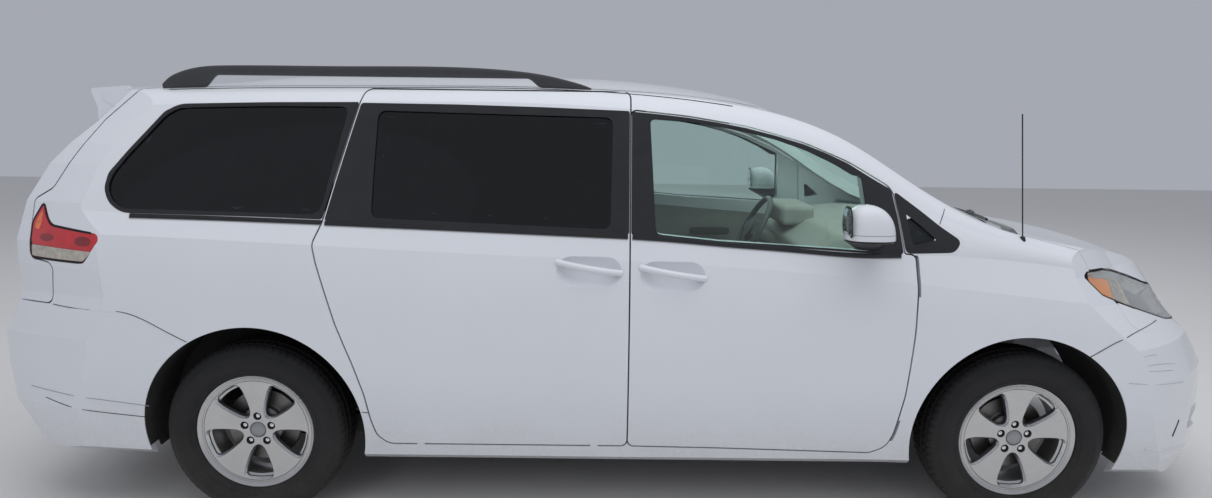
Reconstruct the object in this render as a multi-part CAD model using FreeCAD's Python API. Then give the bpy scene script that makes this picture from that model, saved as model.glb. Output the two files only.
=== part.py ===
"""Seven-seat minivan with sliding rear side doors, built as separate panels, glass, running gear and cabin pieces.

Sizes are millimetres. +X points to the nose, +Y to the car's left side, +Z up. The origin is on the
ground, under the middle of the car's length and width.
"""
import FreeCAD
import Part
import math
import os
from FreeCAD import Vector

# Overall and running-gear sizes
wheelbase = 3030.0
front_overhang = 1000.0
rear_overhang = 1055.0
track = 1720.0
tyre_radius = 357.0
tyre_width = 236.0
rim_radius = 233.0
arch_radius = 428.0
rear_arch_extra = 8.0

# Axle places that follow from them
length = wheelbase + front_overhang + rear_overhang
front_axle = length / 2 - front_overhang
rear_axle = front_axle - wheelbase
axle_z = tyre_radius
wheel_y = track / 2

# Wall and seam sizes
wall = 70.0
hood_wall = 34.0
fixed_seam = 0.3
side_inward = (0.0, -1.0, 0.0)
screen_inward = (-0.431, 0.0, -0.902)
gate_inward = (0.88, 0.0, -0.475)
door_seam = 6.0
door_bottom_z = 316.0
fender_relief = 14.0
glass_depth = 7.0
glass_thick = 5.0
seal_land = 34.0
small_land = 14.0
half_space = 1300.0

# The body's cross-sections from tail to nose. x is from the rear axle where axle is R and from the front
# axle where it is F. The other columns are half widths y and heights z: underside, sill foot, widest
# line, crease under the windows, window sill, top of the side windows, roof edge, and roof centre.
section_columns = ("axle x z_under y_sill y_wide y_crease z_crease "
                   "y_belt z_belt y_drip z_drip y_rail z_rail z_top").split()
section_rows = (
    ("R", -1130, 262, 930, 970, 946, 1150, 903, 1238, 730, 1590, 620, 1650, 1690),
    ("R", -700, 255, 934, 980, 950, 1146, 905, 1232, 738, 1620, 638, 1686, 1722),
    ("R", -330, 240, 936, 986, 951, 1136, 907, 1219, 745, 1638, 650, 1704, 1740),
    ("R", 400, 235, 938, 990, 951, 1104, 911, 1198, 746, 1656, 655, 1717, 1750),
    ("F", -1555, 235, 938, 990, 953, 1062, 920, 1163, 750, 1640, 658, 1707, 1747),
    ("F", -1097, 235, 938, 988, 956, 1040, 927, 1134, 772, 1578, 690, 1656, 1706),
    ("F", -697, 235, 937, 986, 960, 1010, 934, 1104, 818, 1444, 745, 1528, 1572),
    ("F", -421, 232, 936, 985, 962, 985, 933, 1098, 868, 1275, 796, 1354, 1420),
    ("F", -202, 222, 934, 985, 964, 962, 927, 1086, 892, 1185, 836, 1232, 1300),
    ("F", 117, 205, 930, 985, 962, 928, 916, 1055, 885, 1112, 815, 1142, 1160),
    ("F", 437, 198, 926, 984, 955, 890, 905, 990, 868, 1040, 775, 1072, 1098),
    ("F", 707, 196, 920, 978, 940, 840, 880, 912, 832, 955, 735, 985, 1006),
    ("F", 1060, 196, 910, 966, 915, 745, 850, 790, 800, 815, 700, 838, 852),
)
widest_z = 640.0
sill_foot_rise = 27.0
sill_tuck = 40.0
glass_bulge = 8.0
roof_corner_bulge = 9.0

# Outlines seen from above, from chin to roof. Each is a height, the nose at its middle and at its
# corners, and the tail at its middle and at its corners with the corner's half width.
wrap_columns = "z nose nose_corner tail tail_corner tail_corner_y".split()
wrap_rows = (
    (60, -90, -170, 190, 290, 840),
    (160, -45, -125, 150, 240, 845),
    (270, -10, -72, 95, 150, 850),
    (450, 0, -70, 14, 52, 850),
    (600, 0, -82, 0, 36, 850),
    (735, -20, -160, 0, 38, 850),
    (830, -62, -285, 42, 85, 848),
    (900, -85, -380, 68, 112, 842),
    (1010, -160, -500, 62, 100, 835),
    (1100, -230, -560, 58, 95, 825),
    (1255, -300, -620, 85, 128, 790),
    (1400, -340, -680, 150, 205, 745),
    (1482, -355, -695, 225, 280, 720),
    (1571, -380, -720, 325, 383, 690),
    (1700, -400, -740, 440, 505, 640),
    (1850, -420, -760, 620, 700, 560),
)
nose_corner_y = 640.0
wrap_half_width = 1080.0


def from_axle(axle, x):
    """Turns a distance from the named axle into the car's own X."""
    return x + (front_axle if axle == "F" else rear_axle)


def f_x(x):
    return from_axle("F", x)


def r_x(x):
    return from_axle("R", x)


def box(x0, x1, y0, y1, z0, z1):
    return Part.makeBox(x1 - x0, y1 - y0, z1 - z0, Vector(x0, y0, z0))


def cylinder_y(x, z, radius, y0, y1):
    return Part.makeCylinder(radius, y1 - y0, Vector(x, y0, z), Vector(0, 1, 0))


def cylinder_z(x, y, radius, z0, z1):
    return Part.makeCylinder(radius, z1 - z0, Vector(x, y, z0), Vector(0, 0, 1))


def rod(start, end, radius):
    """A round bar between two points."""
    a, b = Vector(*start), Vector(*end)
    return Part.makeCylinder(radius, (b - a).Length, a, b - a)


def mirrored(shape):
    return shape.mirror(Vector(0, 0, 0), Vector(0, 1, 0))


def both_sides(shape):
    """The shape and its mirror image on the other side of the car, as separate solids."""
    return Part.makeCompound([shape, mirrored(shape)])


def fused(first, *others):
    shape = first.multiFuse(list(others)) if others else first
    return shape.removeSplitter()


def arc(a, b, c):
    return Part.Arc(a, b, c).toShape()


def line(a, b):
    return Part.LineSegment(a, b).toShape()


def rounded_wire(corners, place):
    """A closed wire through corners of (u, v) or (u, v, radius), each radius an arc tangent to both sides.

    place turns a flat (u, v) into a point in space.
    """
    count = len(corners)
    ends = []
    for i, corner in enumerate(corners):
        p = Vector(corner[0], corner[1], 0)
        radius = corner[2] if len(corner) > 2 else 0
        before = Vector(*corners[i - 1][:2], 0) - p
        after = Vector(*corners[(i + 1) % count][:2], 0) - p
        half = before.getAngle(after) / 2
        if radius == 0 or half > math.radians(89.5):
            ends.append((p, None, p))
            continue
        reach = min(radius / math.tan(half), 0.48 * before.Length, 0.48 * after.Length)
        radius = reach * math.tan(half)
        before.normalize()
        after.normalize()
        inward = before + after
        inward.normalize()
        middle = p + inward * (radius / math.sin(half) - radius)
        ends.append((p + before * reach, middle, p + after * reach))
    edges = []
    for i, (start, middle, end) in enumerate(ends):
        if middle is not None:
            edges.append(arc(*(place(q.x, q.y) for q in (start, middle, end))))
        following = ends[(i + 1) % count][0]
        if (following - end).Length > 1e-6:
            edges.append(line(place(end.x, end.y), place(following.x, following.y)))
    return Part.Wire(edges)


def side_prism(corners, y0, y1, grow=0.0):
    """An outline in the side view (X, Z), grown outwards by a gap, carried from y0 to y1."""
    wire = rounded_wire(corners, lambda u, v: Vector(u, y0, v))
    if grow:
        wire = wire.makeOffset2D(grow)
    return Part.Face(wire).extrude(Vector(0, y1 - y0, 0))


def plan_prism(corners, z0, z1):
    wire = rounded_wire(corners, lambda u, v: Vector(u, v, z0))
    return Part.Face(wire).extrude(Vector(0, 0, z1 - z0))


def front_prism(corners, x0, x1):
    """An outline in the front view (Y, Z), carried from x0 to x1."""
    wire = rounded_wire(corners, lambda u, v: Vector(x0, u, v))
    return Part.Face(wire).extrude(Vector(x1 - x0, 0, 0))


def section_wire(row, inset):
    """One cross-section of the body, moved inwards by inset; an inset one is left open downwards."""
    s = dict(zip(section_columns, row))
    x = from_axle(s["axle"], s["x"])
    open_below = inset > 0
    under = -260.0 if open_below else s["z_under"]
    foot = s["z_under"] + sill_foot_rise
    points = {
        "under": (s["y_sill"] - sill_tuck - inset, under),
        "foot": (s["y_sill"] - inset, foot),
        "wide": (s["y_wide"] - inset, widest_z),
        "crease": (s["y_crease"] - inset, s["z_crease"]),
        "belt": (s["y_belt"] - inset, s["z_belt"]),
        "drip": (s["y_drip"] - inset, s["z_drip"] - 0.3 * inset),
        "rail": (s["y_rail"] - 0.6 * inset, s["z_rail"] - inset),
    }

    def bulged(a, b, height):
        (y0, z0), (y1, z1) = points[a], points[b]
        span = math.hypot(y1 - y0, z1 - z0)
        return (y0 + y1) / 2 + height * (z1 - z0) / span, (z0 + z1) / 2 - height * (y1 - y0) / span

    points["glass"] = bulged("belt", "drip", glass_bulge)
    points["corner"] = bulged("drip", "rail", roof_corner_bulge)

    def at(name, side):
        y, z = points[name]
        return Vector(x, side * y, z)

    def flank(side):
        return [
            line(at("under", side), at("foot", side)),
            arc(at("foot", side), at("wide", side), at("crease", side)),
            line(at("crease", side), at("belt", side)),
            arc(at("belt", side), at("glass", side), at("drip", side)),
            arc(at("drip", side), at("corner", side), at("rail", side)),
        ]

    roof = arc(at("rail", 1), Vector(x, 0, s["z_top"] - inset), at("rail", -1))
    floor = line(at("under", -1), at("under", 1))
    return Part.Wire([floor] + flank(1) + [roof] + flank(-1)[::-1])


def wrap_wire(row, inset):
    """One outline of the body seen from above, moved inwards by inset at the nose and the tail."""
    s = dict(zip(wrap_columns, row))
    nose = length / 2 + s["nose"] - inset
    nose_corner = length / 2 + s["nose_corner"] - inset
    tail = -length / 2 + s["tail"] + inset
    tail_corner = -length / 2 + s["tail_corner"] + inset
    corner_y = s["tail_corner_y"] - 0.4 * inset
    nose_y = nose_corner_y - 0.4 * inset
    z = s["z"]

    def p(x, y):
        return Vector(x, y, z)

    nose_side = nose_corner - 740
    tail_side = tail_corner + 400

    def tail_flank(side):
        flank_y = corner_y + 135
        return [line(p(tail_side + 20, side * wrap_half_width), p(tail_side, side * flank_y)),
                arc(p(tail_side, side * flank_y), p(tail_corner + 175, side * (corner_y + 73)),
                    p(tail_corner, side * corner_y))]

    edges = [
        arc(p(nose_corner, -nose_y), p(nose, 0), p(nose_corner, nose_y)),
        arc(p(nose_corner, nose_y), p(nose_corner - 175, nose_y + 185), p(nose_side, wrap_half_width)),
        line(p(nose_side, wrap_half_width), p(tail_side + 20, wrap_half_width)),
    ]
    edges += tail_flank(1) + [arc(p(tail_corner, corner_y), p(tail, 0), p(tail_corner, -corner_y))]
    edges += tail_flank(-1)[::-1]
    edges += [
        line(p(tail_side + 20, -wrap_half_width), p(nose_side, -wrap_half_width)),
        arc(p(nose_side, -wrap_half_width), p(nose_corner - 175, -nose_y - 185), p(nose_corner, -nose_y)),
    ]
    return Part.Wire(edges)


def tube_form(inset):
    """The loft through the cross-sections."""
    return Part.makeLoft([section_wire(row, inset) for row in section_rows], True, False)


def body_form(inset):
    """The car's closed outer form, moved inwards by inset."""
    wrap = Part.makeLoft([wrap_wire(row, inset) for row in wrap_rows], True, True)
    return tube_form(inset).common(wrap)


# Outlines in the side view. Each point is an axle letter, x from that axle, z, and the corner's radius.
front_door_outline = (
    ("F", -1550, 316, 25), ("F", -1180, 311, 0), ("F", -585, 296, 30), ("F", -523, 322, 90),
    ("F", -499, 380, 200), ("F", -470, 540, 600), ("F", -448, 800, 900), ("F", -443, 961, 500),
    ("F", -452, 1094, 20), ("F", -494, 1098, 14), ("F", -531, 1344, 70), ("F", -697, 1442, 500), ("F", -867, 1513, 700),
    ("F", -1096, 1575, 1000), ("F", -1327, 1612, 1500), ("F", -1550, 1634, 20),
)
sliding_door_outline = (
    ("F", -1556, door_bottom_z, 25), ("F", -1556, 1706, 25), ("R", 420, 1706, 40), ("R", 407, 1660, 200),
    ("R", 288, 1190, 150), ("R", 257, 1115, 60), ("R", 273, 1046, 150), ("R", 346, 812, 500),
    ("R", 408, 650, 400), ("R", 446, 529, 300), ("R", 466, 420, 200), ("R", 486, 352, 60),
    ("R", 530, door_bottom_z, 60),
)
front_window_outline = (
    ("F", -1479, 1608, 22), ("F", -1456, 1160, 30), ("F", -1206, 1137, 0), ("F", -620, 1105, 45),
    ("F", -646, 1398, 30), ("F", -868, 1496, 500), ("F", -1097, 1562, 800), ("F", -1327, 1598, 800),
)
sliding_window_outline = (
    ("F", -1620, 1612, 25), ("F", -1626, 1176, 40), ("R", 470, 1208, 40), ("R", 476, 1630, 25),
)
quarter_window_outline = (
    ("R", 385, 1652, 30), ("R", 292, 1208, 60), ("R", -490, 1222, 90), ("R", -566, 1300, 60),
    ("R", -556, 1372, 60), ("R", -428, 1536, 200), ("R", -360, 1622, 60),
)
corner_window_outline = (
    ("F", -496, 1266, 22), ("F", -470, 1122, 16), ("F", -345, 1146, 22),
)
liftgate_side_outline = (
    ("R", -508, 1800, 0), ("R", -508, 1704, 60), ("R", -640, 1577, 60), ("R", -728, 1440, 300),
    ("R", -800, 1310, 60), ("R", -884, 1264, 30), ("R", -888, 1036, 30), ("R", -772, 1018, 30),
    ("R", -784, 866, 25), ("R", -1300, 866, 0), ("R", -1300, 1800, 0),
)
rear_bumper_outline = (
    ("R", -1300, 861, 0), ("R", -784, 861, 0), ("R", -449, 842, 60), ("R", -404, 825, 60),
    ("R", -150, 690, 0), ("R", -150, 60, 0), ("R", -1300, 60, 0),
)
tail_lamp_outline = (
    ("R", -880, 1036, 25), ("R", -625, 1028, 18), ("R", -541, 1141, 22), ("R", -692, 1160, 60),
    ("R", -784, 1170, 60), ("R", -830, 1262, 20), ("R", -880, 1180, 60),
)
fuel_lid_outline = (
    ("R", 62, 882, 28), ("R", 217, 882, 28), ("R", 217, 1028, 28), ("R", 62, 1028, 28),
)
fog_pocket_outline = ((610, 318), (800, 352), (770, 440), (660, 425))
spoiler_outline = (
    ("R", -525, 1800, 0), ("R", -830, 1800, 0), ("R", -830, 1683, 0), ("R", -800, 1683, 0),
    ("R", -660, 1644, 30), ("R", -600, 1600, 0), ("R", -525, 1600, 0),
)
# The upper and lower edges of the headlamp and grille band, from its rear tip to the nose.
lamp_top_line = (
    ("F", 236, 1016, 0), ("F", 252, 1028, 20), ("F", 374, 1020, 200), ("F", 450, 1004, 200),
    ("F", 578, 965, 400), ("F", 718, 915, 400), ("F", 858, 882, 400), ("F", 1150, 872, 0),
)
lamp_bottom_line = (
    ("F", 236, 1006, 0), ("F", 313, 938, 80), ("F", 420, 896, 150), ("F", 508, 865, 200),
    ("F", 700, 800, 400), ("F", 858, 768, 300), ("F", 1150, 752, 0),
)
front_bumper_edge = (
    ("F", 1150, 40, 0), ("F", 120, 40, 0), ("F", 120, 668, 0), ("F", 318, 746, 200), ("F", 418, 809, 200),
    ("F", 478, 870, 20),
)
fender_outline = (
    ("F", -620, 348, 0), ("F", 900, 348, 0), ("F", 900, 1320, 0), ("F", -292, 1320, 0),
    ("F", -345, 1216, 10), ("F", -254, 1147, 20), ("F", -287, 1100, 20), ("F", -620, 1090, 0),
)

# Outlines in the plan view: x from the front axle, half width and corner radius, for one half of the car.
windscreen_half = (
    (-1010, 0, 0), (-1004, 560, 700), (-985, 652, 50), (-697, 728, 600), (-421, 780, 400),
    (-130, 815, 30), (-66, 815, 40), (45, 560, 400), (96, 240, 900), (100, 0, 0),
)
hood_half = (
    (158, 0, 0), (154, 250, 900), (100, 560, 400), (-15, 842, 25), (247, 850, 300), (420, 868, 200),
    (520, 905, 100), (1200, 905, 0), (1200, 0, 0),
)
# The spoiler from above and the liftgate's window from behind.
spoiler_plan = (
    (-525, -640, 0), (-700, -640, 60), (-757, -560, 60), (-800, -250, 600), (-806, 0, 900), (-800, 250, 600),
    (-757, 560, 60), (-700, 640, 60), (-525, 640, 0),
)
gate_window = (
    (-655, 1272, 50), (655, 1272, 50), (575, 1640, 60), (-575, 1640, 60),
)
cowl_half = (
    (90, 0, 0), (84, 240, 900), (36, 545, 400), (-90, 800, 0), (-90, 846, 0), (-20, 846, 0),
    (115, 570, 400), (172, 250, 900), (174, 0, 0),
)

# Panel edges and hinge places
roof_half_width = 610.0
sliding_door_inner = 640.0
fender_inner_y = 850.0
lamp_half_gap = 430.0
intake_half = 470.0
hinge_pin_radius = 5.0
hinge_clearance = 0.08
hinge_ear = 8.0
door_hinge_x = front_axle - 512
door_hinge_y = 965.0
door_hinge_heights = (510.0, 790.0)
gate_edge_x = rear_axle - 508
gate_hinge_x = gate_edge_x + 20
gate_hinge_z = 1722.0
gate_hinge_y = 180.0
hood_hinge_x = front_axle - 42
hood_hinge_z = 1125.0
hood_hinge_y = 690.0
fog_pocket_depth = 26.0
plate_half = 175.0
plate_low_z = 905.0
plate_high_z = 1050.0
plate_recess = 16.0
door_foot_inner = 905.0
door_foot_top = 450.0
handle_places = {"front": (front_axle - 1387, 1017.0), "sliding": (front_axle - 1710, 1034.0)}
handle_length = 250.0
handle_radius = 13.0
handle_lift = 10.0
handle_slope = 0.16
bowl_radius = 86.0
bowl_depth = 23.0
bowl_rise = 2.0
bowl_height = 2 * math.sqrt(bowl_radius ** 2 - (bowl_radius - bowl_depth) ** 2)
lid_thick = 12.0
lid_barrel_radius = 9.0
lid_sweep_radius = 35.0
lid_hinge_x = rear_axle + 203
lid_hinge_y = 956.0
lid_hinge_z = 955.0
lid_hinge_lean = 0.1

firewall_back = -500.0
cowl_rear_z = 1028.0
cowl_front_z = 1096.0
wiper_radius = 6.0
wiper_lift = 2.0
spindle_radius = 9.0
# Pivot, the arm's elbow and five points of the blade, as distances from the front axle and the centre.
wiper_rows = (
    ((26, 640), (44, 480), ((-38, 610), (4, 470), (38, 330), (56, 180), (62, 20))),
    ((118, -20), (84, -170), ((56, -40), (48, -180), (30, -330), (0, -470), (-38, -610))),
)

# Running gear, floor and cabin
exhaust_z = 228.0
tail_bore_radius = 24.0
tail_bore_depth = 80.0
kingpin_y = 790.0
kingpin_radius = 14.0
kingpin_reach = 130.0
strut_radius = 34.0
arm_outer_y = 730.0
stub_radius = 22.0
hub_clearance = 0.08
floor_top = 400.0
floor_thick = 40.0
floor_half_width = 799.7
sill_inner = 800.0
liner_gap = 8.0
liner_thick = 5.0
seat_gap = 0.3
steering_centre = (front_axle - 850, 385.0, 1010.0)
steering_lean = 28.0
steering_wheel_radius = 185.0
steering_pin_radius = 12.0


def placed(rows):
    """Outline rows with an axle letter turned into (x, z, radius) corners."""
    return [(from_axle(axle, x), z, radius) for axle, x, z, radius in rows]


def whole_plan(half):
    """A closed plan outline made from the half that lies on the car's left."""
    left = [(f_x(x), y, radius) for x, y, radius in half]
    right = [(x, -y, radius) for x, y, radius in left if y > 0]
    return left + right[::-1]


def grown_plan(half, grow, z0=500, z1=1900):
    wire = rounded_wire(whole_plan(half), lambda u, v: Vector(u, v, z0))
    if grow:
        wire = wire.makeOffset2D(grow)
    return Part.Face(wire).extrude(Vector(0, 0, z1 - z0))


def on_side(rows, grow=0.0, inner=300.0):
    """A prism through the car's left side only."""
    return side_prism(placed(rows), inner, half_space, grow)


def through(rows, grow=0.0):
    """A prism through the whole width."""
    return side_prism(placed(rows), -half_space, half_space, grow)


def save(name, *shapes):
    solids = [solid for shape in shapes for solid in shape.Solids]
    body = solids[0] if len(solids) == 1 else Part.makeCompound(solids)
    body.exportStep("parts/%s.step" % name)
    print("%-22s solids %d valid %s volume %.5f m3" % (name, len(solids), body.isValid(), body.Volume / 1e9))


def biggest(shape):
    """The largest solid of a cut, leaving out slivers that a seam sheds."""
    return max(shape.Solids, key=lambda solid: solid.Volume)


def arches(axle_x, radius):
    left = cylinder_y(axle_x, axle_z, radius, 450, half_space)
    return left.fuse(mirrored(left))


def glass_room(forms, prism, inward):
    """What a window takes out of a panel in front of its inner face, within a prism."""
    return prism.cut(moved(forms["outer"], inward, glass_depth + glass_thick + fixed_seam))


def pane(forms, prism, inward):
    """The glass of one window: the outer form moved in twice, cut to a prism."""
    sheet = moved(forms["outer"], inward, glass_depth).common(prism)
    return biggest(sheet.cut(moved(forms["outer"], inward, glass_depth + glass_thick)))


def moved(shape, direction, distance):
    copy = shape.copy()
    copy.translate(Vector(*direction) * distance)
    return copy


def window_cut(panel, outline, forms, land=seal_land):
    """Cuts a side window out of a panel: the glass's seat, and a smaller way right through."""
    seat = glass_room(forms, on_side(outline, seat_gap), side_inward)
    return panel.cut([seat, on_side(outline, -land)])


def make_forms():
    """The outer form, and the hollow panels in two thicknesses."""
    outer = body_form(0)
    cabin = body_form(wall)
    thin = outer.cut(body_form(hood_wall))
    return {
        "outer": outer,
        "cabin": cabin,
        "thick": outer.cut(cabin),
        "nose": thin.common(box(f_x(-600), length, -half_space, half_space, 0, 1400)),
        "rear": thin.common(box(-length, r_x(0), -half_space, half_space, 0, 1400)),
    }


def door_hinge_pocket(height):
    """The room that a hinge's arm swings through inside the door's front edge."""
    return box(door_hinge_x - 17, door_hinge_x + 120, 700, door_hinge_y + 8.5, height - 34, height + 34)


def door_hinge_leaf(height):
    """The door's half of a hinge: a tube round the pin with a web back into the door."""
    leaf = cylinder_z(door_hinge_x, door_hinge_y, hinge_ear, height - 12, height + 12)
    web = box(door_hinge_x - 40, door_hinge_x, door_hinge_y - 8, door_hinge_y + 4, height - 12, height + 12)
    hole = cylinder_z(door_hinge_x, door_hinge_y, hinge_pin_radius + hinge_clearance, height - 20, height + 20)
    return leaf.fuse(web).cut(hole)


def door_hinge_bracket(height):
    """The body's half of a hinge: a pin between two ears on arms from the hinge pillar."""
    parts = [cylinder_z(door_hinge_x, door_hinge_y, hinge_pin_radius, height - 27, height + 27)]
    for z in (height - 27, height + 13):
        arm = box(-5, 5, -112, 0, z, z + 14)
        arm.rotate(Vector(0, 0, 0), Vector(0, 0, 1), 15)
        arm.translate(Vector(door_hinge_x, door_hinge_y, 0))
        parts += [cylinder_z(door_hinge_x, door_hinge_y, hinge_ear, z, z + 14), arm]
    return fused(*parts)


def side_point(forms, x, z, lift):
    """The point on the outer form's left side at (x, z), lifted off it."""
    across = Part.LineSegment(Vector(x, 300, z), Vector(x, half_space, z)).toShape()
    return Vector(x, forms["outer"].common(across).BoundBox.YMax + lift, z)


def handle_bowl(forms, x, z):
    """The hollow behind a door handle: a round-ended bar sunk into the door's face."""
    half = (handle_length - bowl_height) / 2
    centre = side_point(forms, x, z, bowl_radius - bowl_depth)
    ends = [centre - Vector(half, 0, 0), centre + Vector(half, 0, 0)]
    bar = rod(tuple(ends[0]), tuple(ends[1]), bowl_radius)
    return bar.multiFuse([Part.makeSphere(bowl_radius, end) for end in ends])


def door_handle(forms, x, z):
    """A bar bowed out over the bowl, its ends let into the door's face."""
    half = handle_length / 2
    points = [side_point(forms, x + along, z + bowl_rise - along * handle_slope, lift)
              for along, lift in ((-half, -4), (-0.7 * half, handle_lift), (0.7 * half, handle_lift), (half, -4))]
    return curved_rod(points, handle_radius)


def door_foot_room():
    """The space inside a door's foot that the sill and the centre post fill."""
    return box(-length, length, 0, door_foot_inner, 0, door_foot_top)


def make_front_door(forms):
    x, z = handle_places["front"]
    door = biggest(forms["thick"].common(on_side(front_door_outline)))
    door = window_cut(door, front_window_outline, forms)
    pockets = [door_hinge_pocket(height) for height in door_hinge_heights]
    door = biggest(door.cut(pockets + [handle_bowl(forms, x, z), door_foot_room()]))
    return door.multiFuse([door_hinge_leaf(height) for height in door_hinge_heights] + [door_handle(forms, x, z)])


def make_sliding_door(forms):
    x, z = handle_places["sliding"]
    door = biggest(forms["thick"].common(on_side(sliding_door_outline, 0, sliding_door_inner)))
    door = window_cut(door, sliding_window_outline, forms)
    return biggest(door.cut([handle_bowl(forms, x, z), door_foot_room()])).fuse(door_handle(forms, x, z))


def post_inside(x0, x1, outer_inset, inner_inset, z0, row_number):
    """A post inside the side panels, following the section's inner line from z0 to the roof."""
    s = dict(zip(section_columns, section_rows[row_number]))
    outer_line = [(s["y_wide"] - outer_inset - 20, z0), (s["y_wide"] - outer_inset, widest_z),
                  (s["y_belt"] - outer_inset, s["z_belt"]), (s["y_drip"] - outer_inset, s["z_drip"] - 38),
                  (roof_half_width + 16, s["z_rail"] - wall + 6)]
    inner_line = [(y - (inner_inset - outer_inset), z) for y, z in outer_line]
    post = front_prism(outer_line + inner_line[::-1], x0, x1)
    return post.common(box(x0, x1, roof_half_width, half_space, 0, 2000))


def fender_zone(grow=0.0):
    return on_side(fender_outline, grow).common(box(0, length, fender_inner_y, half_space, 0, 1400))


def make_body_side(forms):
    """The left side: quarter, cant rail, screen pillar, centre post, sill and hinge pillar."""
    side = forms["thick"].common(box(-length, f_x(-92), roof_half_width, half_space, 0, 2000))
    tools = [on_side(outline, grow) for outline, grow in (
        (front_door_outline, door_seam), (rear_bumper_outline, fixed_seam),
        (liftgate_side_outline, door_seam), (tail_lamp_outline, fixed_seam),
        (quarter_window_outline, -seal_land), (corner_window_outline, -small_land))]
    tools += [on_side(sliding_door_outline, door_seam, sliding_door_inner - door_seam),
              fender_zone(fixed_seam), grown_plan(cowl_half, 0), grown_plan(windscreen_half, -seal_land),
              cylinder_y(rear_axle, axle_z, arch_radius + rear_arch_extra, 450, half_space),
              cylinder_y(front_axle, axle_z, arch_radius, 450, half_space)]
    tools.append(glass_room(forms, grown_plan(windscreen_half, seat_gap, 1000), screen_inward))
    for outline in (quarter_window_outline, corner_window_outline):
        tools.append(glass_room(forms, on_side(outline, seat_gap), side_inward))
    side = side.cut(tools)
    pieces = [piece for piece in side.Solids if piece.Volume > 2e5]
    back, front = r_x(arch_radius + 24), f_x(-arch_radius - 20)
    pieces.append(box(back, front, sill_inner, 862, 250, floor_top))
    pieces.append(box(back, front, 855, 880, 268, 305))
    pieces.append(post_inside(f_x(-1620), f_x(-1490), wall + door_seam, wall + 48, 300, 4))
    pieces.append(box(f_x(-500), f_x(-456), sill_inner, 864, 250, 960))
    pieces.append(box(f_x(-500), f_x(-456), sill_inner, 848, 950, 1105))
    pieces += [door_hinge_bracket(height) for height in door_hinge_heights]
    for x in (f_x(-1700), r_x(640)):
        rest = box(x, x + 30, 800, half_space, door_bottom_z - door_seam - 4, door_bottom_z - seat_gap)
        pieces.append(forms["thick"].common(rest))
    return pieces[0].multiFuse(pieces[1:])


def cut_fuel_pocket(side):
    """The pocket behind the fuel lid, with the pin that the lid turns on."""
    pocket = side_prism(placed(fuel_lid_outline), 925, half_space, door_seam)
    return side.cut([pocket, lid_pin(lid_sweep_radius, 158)]).fuse(lid_pin(hinge_pin_radius - 2, 172))


def lid_pin(radius, height):
    """A bar along the fuel lid's leaning hinge line."""
    up = Vector(0, -lid_hinge_lean, 1)
    up.normalize()
    middle = Vector(lid_hinge_x, lid_hinge_y, lid_hinge_z)
    return Part.makeCylinder(radius, height, middle - up * (height / 2), up)


def make_fuel_lid(forms):
    lid = forms["outer"].common(on_side(fuel_lid_outline))
    lid = biggest(lid.cut(moved(forms["outer"], side_inward, lid_thick)))
    barrel = lid_pin(lid_barrel_radius, 120)
    return lid.fuse(barrel).cut(lid_pin(hinge_pin_radius - 2 + hinge_clearance, 200))


def make_roof(forms):
    """The roof between the cant rails, with two slots at its back for the liftgate's arms and pins."""
    rear = gate_edge_x + door_seam
    half = roof_half_width - fixed_seam
    roof = forms["thick"].common(box(rear, f_x(-700), -half, half, 1500, 1900))
    cuts = [glass_room(forms, grown_plan(windscreen_half, seat_gap, 1000), screen_inward),
            grown_plan(windscreen_half, -seal_land)]
    pins = []
    for side in (-1, 1):
        y = side * gate_hinge_y
        cuts.append(box(rear - 5, gate_hinge_x + 14, y - 16, y + 16, 1500, 1900))
        pins.append(cylinder_y(gate_hinge_x, gate_hinge_z, hinge_pin_radius, y - 22, y + 22))
    return biggest(roof.cut(cuts)).multiFuse(pins)


def make_windscreen(forms):
    return pane(forms, grown_plan(windscreen_half, 0, 1000), screen_inward)


def make_hood(forms):
    """The hood panel, with two arms at its back that turn on the cowl's pins."""
    hood = forms["nose"].common(grown_plan(hood_half, 0))
    edge = [(x, z + door_seam, radius) for x, z, radius in placed(lamp_top_line)]
    above = [(edge[-1][0], 1500, 0), (edge[0][0] - 600, 1500, 0), (edge[0][0] - 600, edge[0][1] - 60, 0),
             (edge[0][0], edge[0][1] - 60, 0)]
    hood = biggest(hood.common(side_prism(edge + above, -half_space, half_space)))
    arms = []
    for side in (-1, 1):
        y = side * hood_hinge_y
        ring = cylinder_y(hood_hinge_x, hood_hinge_z, 12, y - 8, y + 8)
        arm = side_prism([(hood_hinge_x, hood_hinge_z - 12), (hood_hinge_x + 160, hood_hinge_z - 22),
                          (hood_hinge_x + 160, hood_hinge_z + 6), (hood_hinge_x, hood_hinge_z + 6)], y - 8, y + 8)
        hole = cylinder_y(hood_hinge_x, hood_hinge_z, hinge_pin_radius + hinge_clearance, y - 20, y + 20)
        arms.append(ring.fuse(arm).cut(hole))
    return hood.multiFuse(arms)


def nose_band(grow=0.0):
    """The band between the two lamp lines, from the lamps' rear tips to the nose."""
    return side_prism(placed(lamp_bottom_line) + placed(lamp_top_line)[::-1], -half_space, half_space, grow)


def bumper_zone(grow=0.0):
    edge = placed(front_bumper_edge)
    lower = [row for row in placed(lamp_bottom_line) if row[0] > edge[-1][0] + 10]
    return side_prism(edge + lower, -half_space, half_space, grow)


def make_front_bumper(forms):
    bumper = forms["nose"].common(bumper_zone()).cut(nose_band(fixed_seam))
    bumper = bumper.cut(arches(front_axle, arch_radius))
    intake = front_prism([(-intake_half, 300, 40), (intake_half, 300, 40), (intake_half + 60, 505, 40),
                          (-intake_half - 60, 505, 40)], f_x(600), length)
    pockets = [front_prism([(side * y, z, 12) for y, z in fog_pocket_outline], f_x(760), length)
               for side in (-1, 1)]
    floors = [moved(forms["outer"], (-1, 0, 0), fog_pocket_depth)]
    return biggest(bumper.cut([intake] + [pocket.cut(floors) for pocket in pockets]))


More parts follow.
